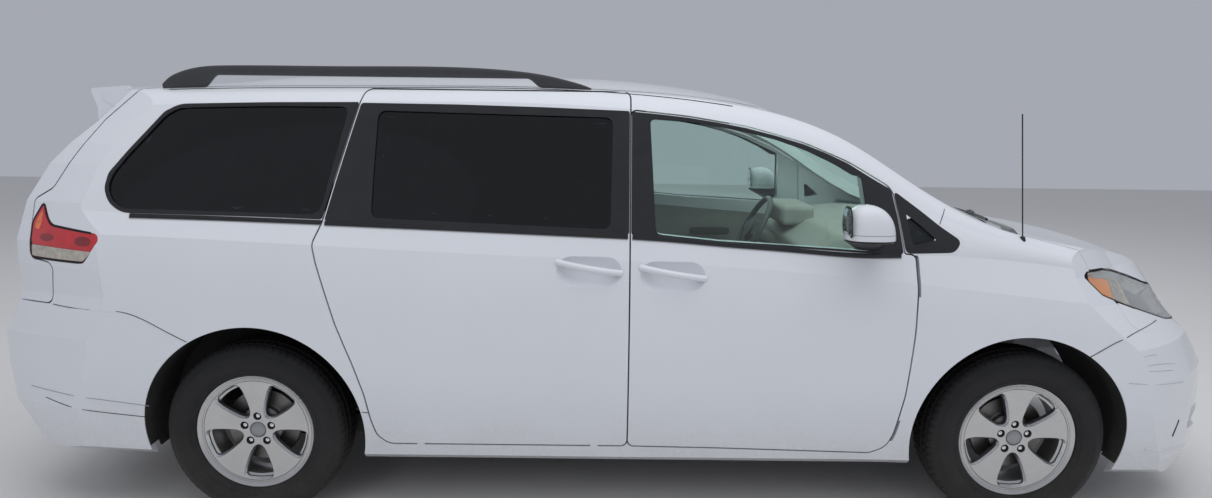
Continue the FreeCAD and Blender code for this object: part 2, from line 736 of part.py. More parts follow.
def make_grille(forms):
    """The bar grille between the lamps."""
    half = lamp_half_gap - seat_gap
    upper = forms["nose"].common(nose_band()).common(box(0, length, -half, half, 600, 1000))
    for z in (775, 807, 839):
        upper = upper.cut(box(f_x(600), length, -half + 40, half - 40, z, z + 18))
    return biggest(upper)


def make_headlamp(forms):
    lamp = forms["nose"].common(nose_band()).common(box(0, length, lamp_half_gap, half_space, 600, 1100))
    return biggest(lamp)


def make_fender(forms):
    fender = forms["nose"].common(fender_zone()).cut(on_side(front_door_outline, door_seam))
    relief = on_side(front_door_outline, fender_relief).common(box(0, length, 0, door_hinge_y + 4, 0, 1400))
    arch = cylinder_y(front_axle, axle_z, arch_radius, 450, half_space)
    fender = fender.cut([relief, bumper_zone(fixed_seam), nose_band(fixed_seam), grown_plan(hood_half, door_seam),
                         arch])
    return biggest(fender)


def make_rear_bumper(forms):
    bumper = forms["rear"].common(through(rear_bumper_outline)).cut(arches(rear_axle, arch_radius + rear_arch_extra))
    return biggest(bumper)


def make_liftgate(forms):
    """The liftgate: its shell with the window cut out, the spoiler over it, and its two hinge arms."""
    gate = forms["thick"].common(through(liftgate_side_outline))
    spoiler = tube_form(0).common(through(spoiler_outline)).common(through(liftgate_side_outline)).common(
        plan_prism([(r_x(x), y, radius) for x, y, radius in spoiler_plan], 1500, 1900))
    gate = gate.cut(both_sides(on_side(tail_lamp_outline, door_seam))).fuse(spoiler.cut(forms["cabin"]))
    window = front_prism(gate_window, r_x(-1100), r_x(-520))
    inner = front_prism([(y - math.copysign(seal_land, y), z + (seal_land if z < 1400 else -seal_land), radius)
                         for y, z, radius in gate_window], r_x(-1100), r_x(-400))
    recess = box(-length, r_x(-700), -plate_half, plate_half, plate_low_z, plate_high_z)
    recess = recess.cut(moved(forms["outer"], (1, 0, 0), plate_recess))
    gate = gate.cut([recess, glass_room(forms, window.cut(through(spoiler_outline)), gate_inward),
                     inner.cut(through(spoiler_outline))])
    parts = []
    for side in (-1, 1):
        y = side * gate_hinge_y
        ring = cylinder_y(gate_hinge_x, gate_hinge_z, 9, y - 8, y + 8)
        arm = side_prism([(gate_hinge_x - 3, gate_hinge_z + 3), (gate_hinge_x - 9, gate_hinge_z - 3),
                          (gate_hinge_x - 40, gate_hinge_z - 34), (gate_hinge_x - 40, gate_hinge_z - 20)],
                         y - 8, y + 8)
        hole = cylinder_y(gate_hinge_x, gate_hinge_z, hinge_pin_radius + hinge_clearance, y - 20, y + 20)
        parts.append(ring.fuse(arm).cut(hole))
    return biggest(gate).multiFuse(parts)


def make_gate_glass(forms):
    window = front_prism(gate_window, r_x(-1100), r_x(-520))
    return pane(forms, window.cut(through(spoiler_outline, seat_gap)), gate_inward)


def make_tail_lamp(forms):
    return biggest(forms["rear"].common(on_side(tail_lamp_outline)))


def make_bulkhead(forms):
    """The firewall, the sloping panel over the wheels up to the windscreen, and the hood's hinge pins."""
    half = floor_half_width
    wall_x = f_x(firewall_back)
    profile = [(wall_x, floor_top + seat_gap), (wall_x + 28, floor_top + seat_gap), (wall_x + 28, 925),
               (f_x(-212), cowl_rear_z - 28), (f_x(140), cowl_front_z - 28), (f_x(140), cowl_front_z),
               (f_x(-225), cowl_rear_z), (wall_x, 950)]
    panel = side_prism(profile, -half, half).common(forms["cabin"])
    parts = []
    for side in (-1, 1):
        y = side * hood_hinge_y
        parts.append(cylinder_y(hood_hinge_x, hood_hinge_z, hinge_pin_radius, y - 26, y + 26))
        for ear in (-1, 1):
            inner = y + ear * 18 - 7
            parts.append(box(hood_hinge_x - 9, hood_hinge_x + 9, inner, inner + 14, 1040, hood_hinge_z + 9))
    return panel.multiFuse(parts)


def make_floor():
    """The floor between the sills, narrowed at the rear wheels, with a panel up to the liftgate's sill."""
    half = floor_half_width
    under = floor_top - floor_thick
    back, front = r_x(-905), f_x(-456)
    narrow = 690
    outline = [(back, -half + 40), (r_x(-470), -half + 40), (r_x(-470), -narrow), (r_x(470), -narrow),
               (r_x(470), -half), (front, -half), (front, half), (r_x(470), half), (r_x(470), narrow),
               (r_x(-470), narrow), (r_x(-470), half - 40), (back, half - 40)]
    floor = plan_prism([(x, y, 20) for x, y in outline], under, floor_top)
    sill = box(back, back + 30, -half + 40, half - 40, under, 850)
    return floor.fuse(sill)


def make_liner(axle_x, inner_y, forms, form, walled):
    """One wheel arch liner: a half drum over the tyre, closed on its inner side at the rear."""
    radius = arch_radius + liner_gap
    drum = cylinder_y(axle_x, axle_z, radius + liner_thick, inner_y, half_space)
    drum = drum.cut(cylinder_y(axle_x, axle_z, radius, inner_y + (liner_thick if walled else -1), half_space + 1))
    drum = drum.cut([box(axle_x - 600, axle_x + 600, 0, half_space + 2, -200, 262),
                     box(axle_x - 600, axle_x + 600, 0, arm_outer_y + 6, -200, floor_top)])
    return biggest(drum.common(form))


def make_tyre(x, side):
    """A tyre as a turned section: flat tread, rounded shoulders and bulged side walls."""
    half = tyre_width / 2
    bead = rim_radius + seat_gap
    bead_half = half - 22
    shoulder = tyre_radius - 34
    points = [(bead, -bead_half), (bead + 38, -half), (shoulder, -half + 14), (tyre_radius - 5, -half + 40),
              (tyre_radius, 0), (tyre_radius - 5, half - 40), (shoulder, half - 14), (bead + 38, half),
              (bead, bead_half)]

    def at(point):
        return Vector(x, side * wheel_y + point[1], axle_z + point[0])

    p = [at(point) for point in points]
    side_mid = (bead + 38 + shoulder) / 2
    profile = Part.Wire([
        line(p[0], p[1]), arc(p[1], at((side_mid, -half - 3)), p[2]), line(p[2], p[3]),
        arc(p[3], p[4], p[5]), line(p[5], p[6]), arc(p[6], at((side_mid, half + 3)), p[7]), line(p[7], p[8]),
        line(p[8], p[0])])
    return Part.Face(profile).revolve(Vector(x, 0, axle_z), Vector(0, 1, 0), 360)


def make_rim(x, side):
    """A five-spoke rim with its barrel, hub and brake disc in one piece. The drawing's own +Y is outboard."""
    half = tyre_width / 2 - 22
    bead = rim_radius
    face = 72.0
    barrel = [(bead - 12, -half), (bead, -half), (bead, -half + 12), (bead - 14, -half + 22),
              (bead - 30, -half + 60), (bead - 30, half - 50), (bead - 14, half - 20), (bead, half - 10),
              (bead, half), (bead - 12, half), (bead - 26, half - 22), (bead - 40, half - 52),
              (bead - 40, -half + 60), (bead - 26, -half + 20)]
    hub = [(0, face - 34), (0, face - 2), (60, face - 2), (72, face - 12), (72, face - 40), (60, 0), (60, -16),
           (stub_radius + hub_clearance, -16), (stub_radius + hub_clearance, face - 34)]
    disc = [(stub_radius + 20, -16), (148, -16), (148, 6), (58, 6), (58, 30), (stub_radius + 20, 30)]
    parts = []
    for outline in (barrel, hub, disc):
        wire = Part.makePolygon([Vector(0, v, u) for u, v in outline + outline[:1]])
        parts.append(Part.Face(wire).revolve(Vector(0, 0, 0), Vector(0, 1, 0), 360))
    spoke = plan_spoke(face, bead)
    for k in range(5):
        arm = spoke.copy()
        arm.rotate(Vector(0, 0, 0), Vector(0, 1, 0), 72 * k + 36)
        parts.append(arm)
    rim = fused(*parts)
    if side < 0:
        rim = mirrored(rim)
    rim.translate(Vector(x, side * wheel_y, axle_z))
    return rim


def plan_spoke(face, bead):
    """One spoke, drawn pointing up: broad at the hub, waisted, and broad again where it meets the barrel."""
    front = [(-46, 40), (46, 40), (30, 110), (34, 170), (58, bead - 20), (-58, bead - 20), (-34, 170), (-30, 110)]
    wire = Part.makePolygon([Vector(u, face - 46, v) for u, v in front + front[:1]])
    arm = Part.Face(wire).extrude(Vector(0, 60, 0))
    tilt = side_profile_spoke(face, bead)
    return arm.common(tilt)


def side_profile_spoke(face, bead):
    profile = [(40, face - 40), (40, face - 4), (120, face + 2), (bead - 20, face + 12), (bead - 20, face - 18),
               (120, face - 26)]
    wire = Part.makePolygon([Vector(-80, v, u) for u, v in profile + profile[:1]])
    return Part.Face(wire).extrude(Vector(160, 0, 0))


def make_knuckle(side):
    """A steering knuckle: its upright on the kingpin line, and the stub axle that the hub turns on."""
    upright = cylinder_z(front_axle, kingpin_y, 30, axle_z - 90, axle_z + 90)
    pin = cylinder_z(front_axle, kingpin_y, kingpin_radius, axle_z - kingpin_reach, axle_z + kingpin_reach)
    stub = cylinder_y(front_axle, axle_z, stub_radius, kingpin_y, wheel_y + 36)
    knuckle = fused(upright, pin, stub)
    return knuckle if side > 0 else mirrored(knuckle)


def make_front_suspension():
    """The front crossmember with its lower and upper arms, and a strut each side up to the wheel house."""
    member = box(front_axle - 110, front_axle + 90, -390, 390, 205, 285)
    parts = [member]
    low, high = axle_z - kingpin_reach, axle_z + kingpin_reach
    for side in (-1, 1):
        y = side * kingpin_y
        for z0 in (low - 18, high - 10):
            eye = cylinder_z(front_axle, y, kingpin_radius + 16, z0, z0 + 28)
            arm = box(front_axle - 24, front_axle + 24, min(side * 300, y), max(side * 300, y), z0, z0 + 28)
            if z0 > axle_z:
                arm = box(front_axle - 24, front_axle + 24, min(side * 600, y), max(side * 600, y), z0, z0 + 28)
            parts += [eye, arm]
        liner_top = axle_z + math.sqrt((arch_radius + liner_gap) ** 2 - strut_radius ** 2)
        parts.append(cylinder_z(front_axle, side * 636, strut_radius, low - 10, liner_top - seat_gap))
        parts.append(cylinder_z(front_axle, side * 636, 52, 560, 770))
    frame = fused(*parts)
    for side in (-1, 1):
        frame = frame.cut(cylinder_z(front_axle, side * kingpin_y, kingpin_radius + hub_clearance, low, high))
    return frame


def make_rear_axle():
    """The rear beam with its trailing arms up to the floor, and the stubs that the rear hubs turn on."""
    under = floor_top - floor_thick - seat_gap
    parts = [cylinder_y(r_x(120), 310, 38, -710, 710)]
    for side in (-1, 1):
        arm = side_prism([(r_x(-60), 318), (r_x(-60), 392), (r_x(60), 392), (r_x(440), under - 20),
                          (r_x(500), under), (r_x(620), under), (r_x(620), under - 70), (r_x(520), under - 80),
                          (r_x(60), 262)], 695, arm_outer_y)
        stub = cylinder_y(rear_axle, axle_z, stub_radius, 700, wheel_y + 36)
        for piece in (arm, stub):
            parts.append(piece if side > 0 else mirrored(piece))
    return fused(*parts)


def rounded_box(x0, x1, y0, y1, z0, z1, radius):
    solid = box(x0, x1, y0, y1, z0, z1)
    return solid.makeFillet(radius, solid.Edges)


def make_seat(x, y, width, back_top, head=1):
    """A seat at its hip point: pedestal, cushion, reclined back and head restraints."""
    half = width / 2
    cushion = rounded_box(x - 190, x + 330, y - half, y + half, 600, 735, 45)
    back = rounded_box(-60, 60, y - half + 12, y + half - 12, 0, back_top, 45)
    back.rotate(Vector(0, 0, 0), Vector(0, 1, 0), -18)
    back.translate(Vector(x - 150, 0, 660))
    parts = [cushion, back, box(x - 150, x + 230, y - half + 90, y + half - 90, floor_top + seat_gap, 620)]
    lean = math.radians(18)
    for k in range(head):
        hy = y + (k - (head - 1) / 2) * 460
        rest = rounded_box(-42, 42, hy - 125, hy + 125, back_top - 8, back_top + 175, 34)
        rest.rotate(Vector(0, 0, 0), Vector(0, 1, 0), -18)
        rest.translate(Vector(x - 150, 0, 660))
        parts.append(rest)
    return fused(*parts)


def make_dashboard(forms):
    """The dashboard, deep under the windscreen, with the steering column's pin."""
    x, y, z = steering_centre
    front = f_x(firewall_back) - seat_gap
    profile = [(f_x(-690), 700), (f_x(-520), 560), (front, 600), (front, 955), (f_x(-225), 1032),
               (f_x(-72), 1064), (f_x(-76), 1106, 10), (f_x(-330), 1118, 200), (f_x(-600), 1092, 60),
               (f_x(-722), 1000, 40), (f_x(-730), 850, 60)]
    half = floor_half_width - 45
    dash = side_prism(profile, -half, half).common(forms["cabin"])
    column = rod(on_column(-24), on_column(-330), 38)
    pin = rod(on_column(6), on_column(-60), steering_pin_radius)
    binnacle = rounded_box(f_x(-740), f_x(-560), y - 190, y + 190, 1050, 1160, 30)
    return fused(dash, column, pin, binnacle.common(forms["cabin"]))


def on_column(distance):
    """A point on the steering column's axis, measured from the wheel's middle towards the driver."""
    x, y, z = steering_centre
    lean = math.radians(steering_lean)
    return x - distance * math.cos(lean), y, z + distance * math.sin(lean)


def make_steering_wheel():
    """A three-spoke steering wheel, drawn flat and leaned back onto its column."""
    rim = Part.makeTorus(steering_wheel_radius, 15)
    hub = Part.makeCylinder(62, 44, Vector(0, 0, -22))
    parts = [rim, hub]
    for angle in (90, 180, 270):
        spoke = box(40, steering_wheel_radius, -22, 22, -9, 9)
        spoke.rotate(Vector(0, 0, 0), Vector(0, 0, 1), angle)
        parts.append(spoke)
    wheel = fused(*parts).cut(Part.makeCylinder(steering_pin_radius + hub_clearance, 40, Vector(0, 0, -30)))
    wheel.rotate(Vector(0, 0, 0), Vector(0, 1, 0), -90 + steering_lean)
    wheel.translate(Vector(*steering_centre))
    return wheel


def make_mirror(forms):
    """A door mirror: a rounded housing on a foot at the front of the window."""
    housing = rounded_box(f_x(-765), f_x(-585), 985, 1138, 1168, 1304, 42)
    foot = rounded_box(f_x(-700), f_x(-590), 880, 1010, 1122, 1182, 20)
    shell = forms["outer"].copy()
    shell.translate(Vector(0, seat_gap, 0))
    return biggest(fused(housing, foot).cut(shell))


def make_roof_rail(forms):
    """A roof rail on three feet, its top drawn down to the roof at both ends."""
    top = [(r_x(-430), 1700), (r_x(-430), 1722, 20), (r_x(-368), 1764, 60), (r_x(-300), 1786, 80),
           (r_x(-160), 1799, 120), (f_x(-2160), 1799, 300), (f_x(-1900), 1778, 120), (f_x(-1760), 1742, 60),
           (f_x(-1712), 1722, 15), (f_x(-1712), 1690)]
    rail = side_prism(top, 620, 656)
    for x0, x1 in ((r_x(-290), r_x(250)), (r_x(370), f_x(-1900))):
        rail = rail.cut(side_prism([(x0, 1600), (x0 + 16, 1768, 14), (x1 - 30, 1768, 14), (x1, 1600)], 600, 680))
    rail = rail.cut(forms["outer"])
    rail.translate(Vector(0, 0, seat_gap))
    return biggest(rail)


def make_antenna(forms):
    """A short rod aerial on the right wing, leaning back from its foot."""
    x, y = f_x(-12), -872
    foot = Part.makeCone(17, 9, 34, Vector(x, y, 1130))
    foot = Part.makeCylinder(17, 30, Vector(x, y, 1105)).fuse(foot).cut(forms["outer"])
    foot = biggest(foot)
    foot.translate(Vector(0, 0, 2 * seat_gap))
    return foot.fuse(rod((x, y, 1163.8), (x - 45, y, 1638.8), 2.6))


def make_wipers(forms):
    """Two wipers: a spindle up from the bulkhead, an arm, and a blade along the foot of the windscreen."""
    wipers = []
    cowl_line = [(f_x(-225), cowl_rear_z), (f_x(140), cowl_front_z), (f_x(140), 900), (f_x(-225), 900)]
    under_cowl = side_prism(cowl_line, -half_space, half_space, seat_gap)
    for pivot, elbow, ends in wiper_rows:
        blade = curved_rod([surface_point(forms, f_x(x), y, wiper_lift) for x, y in ends], wiper_radius)
        x, y = f_x(pivot[0]), pivot[1]
        head = surface_point(forms, x, y, 0)
        spindle = cylinder_z(x, y, spindle_radius, cowl_rear_z, head.z).cut(under_cowl)
        arm = curved_rod([head, surface_point(forms, f_x(elbow[0]), elbow[1], wiper_lift + 14),
                          surface_point(forms, f_x(ends[2][0]), ends[2][1], wiper_lift + 4)], 5)
        wipers.append(blade.multiFuse([spindle, arm]))
    return wipers


def curved_rod(points, radius):
    """A round bar along a smooth curve through the points."""
    curve = Part.BSplineCurve()
    curve.interpolate(points)
    path = Part.Wire([curve.toShape()])
    circle = Part.Wire([Part.makeCircle(radius, points[0], path.Edges[0].tangentAt(curve.FirstParameter))])
    return path.makePipeShell([circle], True, False)


def surface_point(forms, x, y, lift):
    """The point on the outer form above (x, y), lifted off it."""
    column = Part.LineSegment(Vector(x, y, 0), Vector(x, y, 2500)).toShape()
    return Vector(x, y, forms["outer"].common(column).BoundBox.ZMax + lift)


def make_engine():
    block = rounded_box(f_x(-150), f_x(300), -310, 330, 285 + seat_gap, 860, 30)
    return block


def make_exhaust():
    """The exhaust under the floor: a pipe to the silencer at the rear, hung from the floor."""
    under = floor_top - floor_thick - seat_gap
    z = exhaust_z
    pipe = rod((f_x(-480), -180, z), (r_x(-620), -180, z), 28)
    silencer = rounded_box(r_x(-860), r_x(-600), -560, -140, z - 28, z + 90, 40)
    tip = rod((r_x(-850), -500, z), (r_x(-1000), -500, z), 28)
    bore = rod((r_x(-1000 + tail_bore_depth), -500, z), (r_x(-1001), -500, z), tail_bore_radius)
    hangers = [box(x, x + 30, -195, -165, z, under) for x in (f_x(-900), r_x(900), r_x(-640))]
    return fused(pipe, silencer, tip, *hangers).cut(bore)


def make_fuel_tank():
    return rounded_box(r_x(760), r_x(1560), -90, 420, 190, floor_top - floor_thick - seat_gap, 30)


def main():
    os.makedirs("parts", exist_ok=True)
    forms = make_forms()
    side = make_body_side(forms)
    save("body_side_left", cut_fuel_pocket(side))
    save("body_side_right", mirrored(side))
    save("fuel_lid", make_fuel_lid(forms))
    save("roof_panel", make_roof(forms))
    save("windscreen", make_windscreen(forms))
    save("hood", make_hood(forms))
    save("front_bumper", make_front_bumper(forms))
    save("rear_bumper", make_rear_bumper(forms))
    save("grille", make_grille(forms))
    save("headlamps", both_sides(make_headlamp(forms)))
    save("tail_lamps", both_sides(make_tail_lamp(forms)))
    save("fenders", both_sides(make_fender(forms)))
    save("liftgate", make_liftgate(forms))
    save("liftgate_glass", make_gate_glass(forms))
    save("sliding_doors", both_sides(make_sliding_door(forms)))
    fixed = [pane(forms, on_side(outline), side_inward) for outline in
             (quarter_window_outline, sliding_window_outline, corner_window_outline)]
    save("side_glass", *[both_sides(piece) for piece in fixed])
    save("bulkhead", make_bulkhead(forms))
    save("floor_pan", make_floor())
    door = make_front_door(forms)
    glass = pane(forms, on_side(front_window_outline), side_inward)
    mirror = make_mirror(forms)
    for name, y in (("left", 1), ("right", -1)):
        for node, shape in (("front_door_", door), ("door_glass_", glass), ("mirror_", mirror)):
            save(node + name, shape if y > 0 else mirrored(shape))
        save("knuckle_" + name, make_knuckle(y))
        for place, axle_x in (("front", front_axle), ("rear", rear_axle)):
            save("rim_%s_%s" % (place, name), make_rim(axle_x, y))
            save("tyre_%s_%s" % (place, name), make_tyre(axle_x, y))
    liners = [make_liner(front_axle, 540, forms, forms["cabin"], False),
              make_liner(rear_axle, 700, forms, forms["cabin"], True)]
    save("arch_liners", *[both_sides(liner) for liner in liners])
    save("roof_rails", both_sides(make_roof_rail(forms)))
    save("antenna", make_antenna(forms))
    save("wipers", *make_wipers(forms))
    save("front_suspension", make_front_suspension())
    save("rear_axle", make_rear_axle())
    save("engine", make_engine())
    save("exhaust", make_exhaust())
    save("fuel_tank", make_fuel_tank())
    save("dashboard", make_dashboard(forms))
    save("steering_wheel", make_steering_wheel())
    save("front_seats", both_sides(make_seat(f_x(-1290), 400, 510, 600)))
    save("middle_seats", both_sides(make_seat(f_x(-2180), 400, 500, 600)))
    save("rear_seat", make_seat(r_x(60), 0, 1240, 560, 3))


main()
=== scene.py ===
import bpy, math
import numpy as np
from mathutils import Matrix
from mathutils.geometry import delaunay_2d_cdt


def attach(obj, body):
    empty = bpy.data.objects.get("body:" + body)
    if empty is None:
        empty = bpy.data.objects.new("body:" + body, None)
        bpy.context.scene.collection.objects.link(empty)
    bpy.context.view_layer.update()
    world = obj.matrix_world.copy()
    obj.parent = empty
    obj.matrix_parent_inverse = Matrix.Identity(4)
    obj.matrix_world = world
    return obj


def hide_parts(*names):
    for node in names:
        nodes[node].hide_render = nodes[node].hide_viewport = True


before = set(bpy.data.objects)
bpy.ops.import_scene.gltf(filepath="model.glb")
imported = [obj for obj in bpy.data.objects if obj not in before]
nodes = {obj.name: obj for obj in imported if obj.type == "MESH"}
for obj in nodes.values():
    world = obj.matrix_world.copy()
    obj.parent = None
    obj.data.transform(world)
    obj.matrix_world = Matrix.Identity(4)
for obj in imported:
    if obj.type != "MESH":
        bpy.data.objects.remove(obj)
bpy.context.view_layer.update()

print("frame loaded:", len(nodes), "nodes")

# All shapes are worked out in millimetres in the car's frame: +X nose, +Y left, +Z up, z = 0 the road.
# The photograph shows the right side, so the near side is -Y. Meshes are stored in metres.
frontAxle, rearAxle, axleHeight, wheelTrack = 1542.5, -1487.5, 357.0, 860.0


def addMesh(name, points, faces, body, looks, replaces=(), flatEdges=None):
    # points is an N x 3 array in millimetres; faces is one array of quads or triangles, or a list of them;
    # looks is one finish's name or a list, and the first gives the slot unless one is named
    looks = [looks] if isinstance(looks, str) else looks
    mesh = bpy.data.meshes.new(name)
    groups = faces if isinstance(faces, list) else [faces]
    polygons = [row for group in groups for row in np.asarray(group).tolist()]
    mesh.from_pydata((np.asarray(points, float) / 1000.0).tolist(), [], polygons)
    mesh.polygons.foreach_set("use_smooth", np.full(len(mesh.polygons), True))
    if flatEdges is not None:
        mesh.set_sharp_from_angle(angle=math.radians(flatEdges))
    mesh.validate()
    mesh.update()
    piece = bpy.data.objects.new(name, mesh)
    bpy.context.scene.collection.objects.link(piece)
    for look in looks:
        mesh.materials.append(finish[look])
    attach(piece, body)
    if replaces:
        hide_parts(*replaces)
    return piece


# The body's cross-sections, tail to nose: x, then half widths y and heights z of the underside, sill foot,
# widest line, crease under the windows, window sill, top of the side windows, roof edge and roof centre.
bodySections = {
    "x": [-2617.5, -2187.5, -1817.5, -1087.5, -12.5, 445.5, 845.5, 1121.5, 1340.5, 1659.5, 1979.5, 2249.5,
          2602.5],
    "zUnder": [262, 255, 240, 235, 235, 235, 235, 232, 222, 205, 198, 196, 196],
    "ySill": [930, 934, 936, 938, 938, 938, 937, 936, 934, 930, 926, 920, 910],
    "yWide": [970, 980, 986, 990, 990, 988, 986, 985, 985, 985, 984, 978, 966],
    "yCrease": [946, 950, 951, 951, 953, 956, 960, 962, 964, 962, 955, 940, 915],
    "zCrease": [1150, 1146, 1136, 1104, 1062, 1040, 1010, 985, 962, 928, 890, 840, 745],
    "yBelt": [903, 905, 907, 911, 920, 927, 934, 933, 927, 916, 905, 880, 850],
    "zBelt": [1238, 1232, 1219, 1198, 1163, 1134, 1104, 1098, 1086, 1055, 990, 912, 790],
    "yDrip": [730, 738, 745, 746, 750, 772, 818, 868, 892, 885, 868, 832, 800],
    "zDrip": [1590, 1620, 1638, 1656, 1640, 1578, 1444, 1275, 1185, 1112, 1040, 955, 815],
    "yRail": [620, 638, 650, 655, 658, 690, 745, 796, 836, 815, 775, 735, 700],
    "zRail": [1650, 1686, 1704, 1717, 1707, 1656, 1528, 1354, 1232, 1142, 1072, 985, 838],
    "zTop": [1690, 1722, 1740, 1750, 1747, 1706, 1572, 1420, 1300, 1160, 1098, 1006, 852],
    "zWide": 640.0, "footRise": 27.0, "glassBulge": 8.0, "roofBulge": 9.0,
}
# The body's outline from above at several heights: nose and tail, at the middle and at the corners.
bodyWrap = {
    "z": [60, 160, 270, 450, 600, 735, 830, 900, 1010, 1100, 1255, 1400, 1482, 1571, 1700, 1850],
    "nose": [-90, -45, -10, 0, 0, -20, -62, -85, -160, -230, -300, -340, -355, -380, -400, -420],
    "noseCorner": [-170, -125, -72, -70, -82, -160, -285, -380, -500, -560, -620, -680, -695, -720, -740,
                   -760],
    "tail": [190, 150, 95, 14, 0, 0, 42, 68, 62, 58, 85, 150, 225, 325, 440, 620],
    "tailCorner": [290, 240, 150, 52, 36, 38, 85, 112, 100, 95, 128, 205, 280, 383, 505, 700],
    "tailCornerY": [840, 845, 850, 850, 850, 850, 848, 842, 835, 825, 790, 745, 720, 690, 640, 560],
    "noseCornerY": 640.0, "halfLength": 2542.5, "halfWidth": 1080.0, "rounding": 14.0,
}


def cubicThrough(knots, values):
    # natural cubic spline: second derivatives from one linear solve, then the usual blend between two knots
    t, v = np.asarray(knots, float), np.asarray(values, float)
    n, h = len(t), np.diff(t)
    system = np.eye(n)
    rows = np.arange(1, n - 1)
    system[rows, rows - 1], system[rows, rows], system[rows, rows + 1] = h[:-1], 2 * (h[:-1] + h[1:]), h[1:]
    slopes = np.diff(v) / h
    right = np.zeros(n)
    right[1:-1] = 6 * np.diff(slopes)
    second = np.linalg.solve(system, right)

    def evaluate(x):
        x = np.clip(x, t[0], t[-1])
        i = np.clip(np.searchsorted(t, x) - 1, 0, n - 2)
        a, b = (t[i + 1] - x) / h[i], (x - t[i]) / h[i]
        return a * v[i] + b * v[i + 1] + ((a ** 3 - a) * second[i] + (b ** 3 - b)
                                          * second[i + 1]) * h[i] ** 2 / 6
    return evaluate


sectionAt = {key: cubicThrough(bodySections["x"], row) for key, row in bodySections.items()
             if isinstance(row, list) and key != "x"}


def wrapAt(key, z):
    return np.interp(z, bodyWrap["z"], bodyWrap[key])


def circleThrough(ay, az, by, bz, cy, cz):
    # centre and radius of the circle through three points, for whole arrays
    d = 2 * (ay * (bz - cz) + by * (cz - az) + cy * (az - bz))
    a2, b2, c2 = ay ** 2 + az ** 2, by ** 2 + bz ** 2, cy ** 2 + cz ** 2
    y = (a2 * (bz - cz) + b2 * (cz - az) + c2 * (az - bz)) / d
    z = (a2 * (cy - by) + b2 * (ay - cy) + c2 * (by - ay)) / d
    return y, z, np.hypot(ay - y, az - z)


def bulged(y0, z0, y1, z1, height):
    span = np.hypot(y1 - y0, z1 - z0)
    return (y0 + y1) / 2 + height * (z1 - z0) / span, (z0 + z1) / 2 - height * (y1 - y0) / span


def sectionShape(x):
    s = {key: spline(x) for key, spline in sectionAt.items()}
    foot = s["zUnder"] + bodySections["footRise"]
    s["foot"] = foot
    s["flank"] = circleThrough(s["ySill"], foot, s["yWide"], bodySections["zWide"], s["yCrease"],
                               s["zCrease"])
    gy, gz = bulged(s["yBelt"], s["zBelt"], s["yDrip"], s["zDrip"], bodySections["glassBulge"])
    s["glass"] = circleThrough(s["yBelt"], s["zBelt"], gy, gz, s["yDrip"], s["zDrip"])
    ry, rz = bulged(s["yDrip"], s["zDrip"], s["yRail"], s["zRail"], bodySections["roofBulge"])
    s["corner"] = circleThrough(s["yDrip"], s["zDrip"], ry, rz, s["yRail"], s["zRail"])
    rise = np.maximum(s["zTop"] - s["zRail"], 1.0)
    s["roofRadius"] = (s["yRail"] ** 2 + rise ** 2) / (2 * rise)
    return s


def halfWidth(s, z):
    # the section's half width at height z: sill line, flank arc, shoulder line, glass arc, corner arc,
    # roof arc
    def arcY(c):
        return c[0] + np.sqrt(np.maximum(c[2] ** 2 - (z - c[1]) ** 2, 0.0))
    sill = s["ySill"] - 40 * (s["foot"] - z) / bodySections["footRise"]
    shoulder = s["yCrease"] + (s["yBelt"] - s["yCrease"]) * (z - s["zCrease"]) / (s["zBelt"] - s["zCrease"])
    roofDepth = z - (s["zTop"] - s["roofRadius"])
    roof = np.sqrt(np.maximum(s["roofRadius"] ** 2 - roofDepth ** 2, 0.0))
    out = np.select([z < s["zUnder"], z < s["foot"], z < s["zCrease"], z < s["zBelt"], z < s["zDrip"],
                     z < s["zRail"], z <= s["zTop"]],
                    [-500.0, sill, arcY(s["flank"]), shoulder, arcY(s["glass"]), arcY(s["corner"]), roof],
                    -500.0)
    return out


def topHeight(s, y):
    # the section's height over half width y
    def arcZ(c):
        return c[1] + np.sqrt(np.maximum(c[2] ** 2 - (y - c[0]) ** 2, 0.0))
    roof = s["zTop"] - s["roofRadius"] + np.sqrt(np.maximum(s["roofRadius"] ** 2 - y ** 2, 0.0))
    shoulder = s["zBelt"] + (y - s["yBelt"]) * (s["zCrease"] - s["zBelt"]) / (s["yCrease"] - s["yBelt"])
    return np.select([y < s["yRail"], y < s["yDrip"], y < s["yBelt"], y < s["yCrease"]],
                     [roof, arcZ(s["corner"]), arcZ(s["glass"]), shoulder], s["zCrease"] - 300.0)


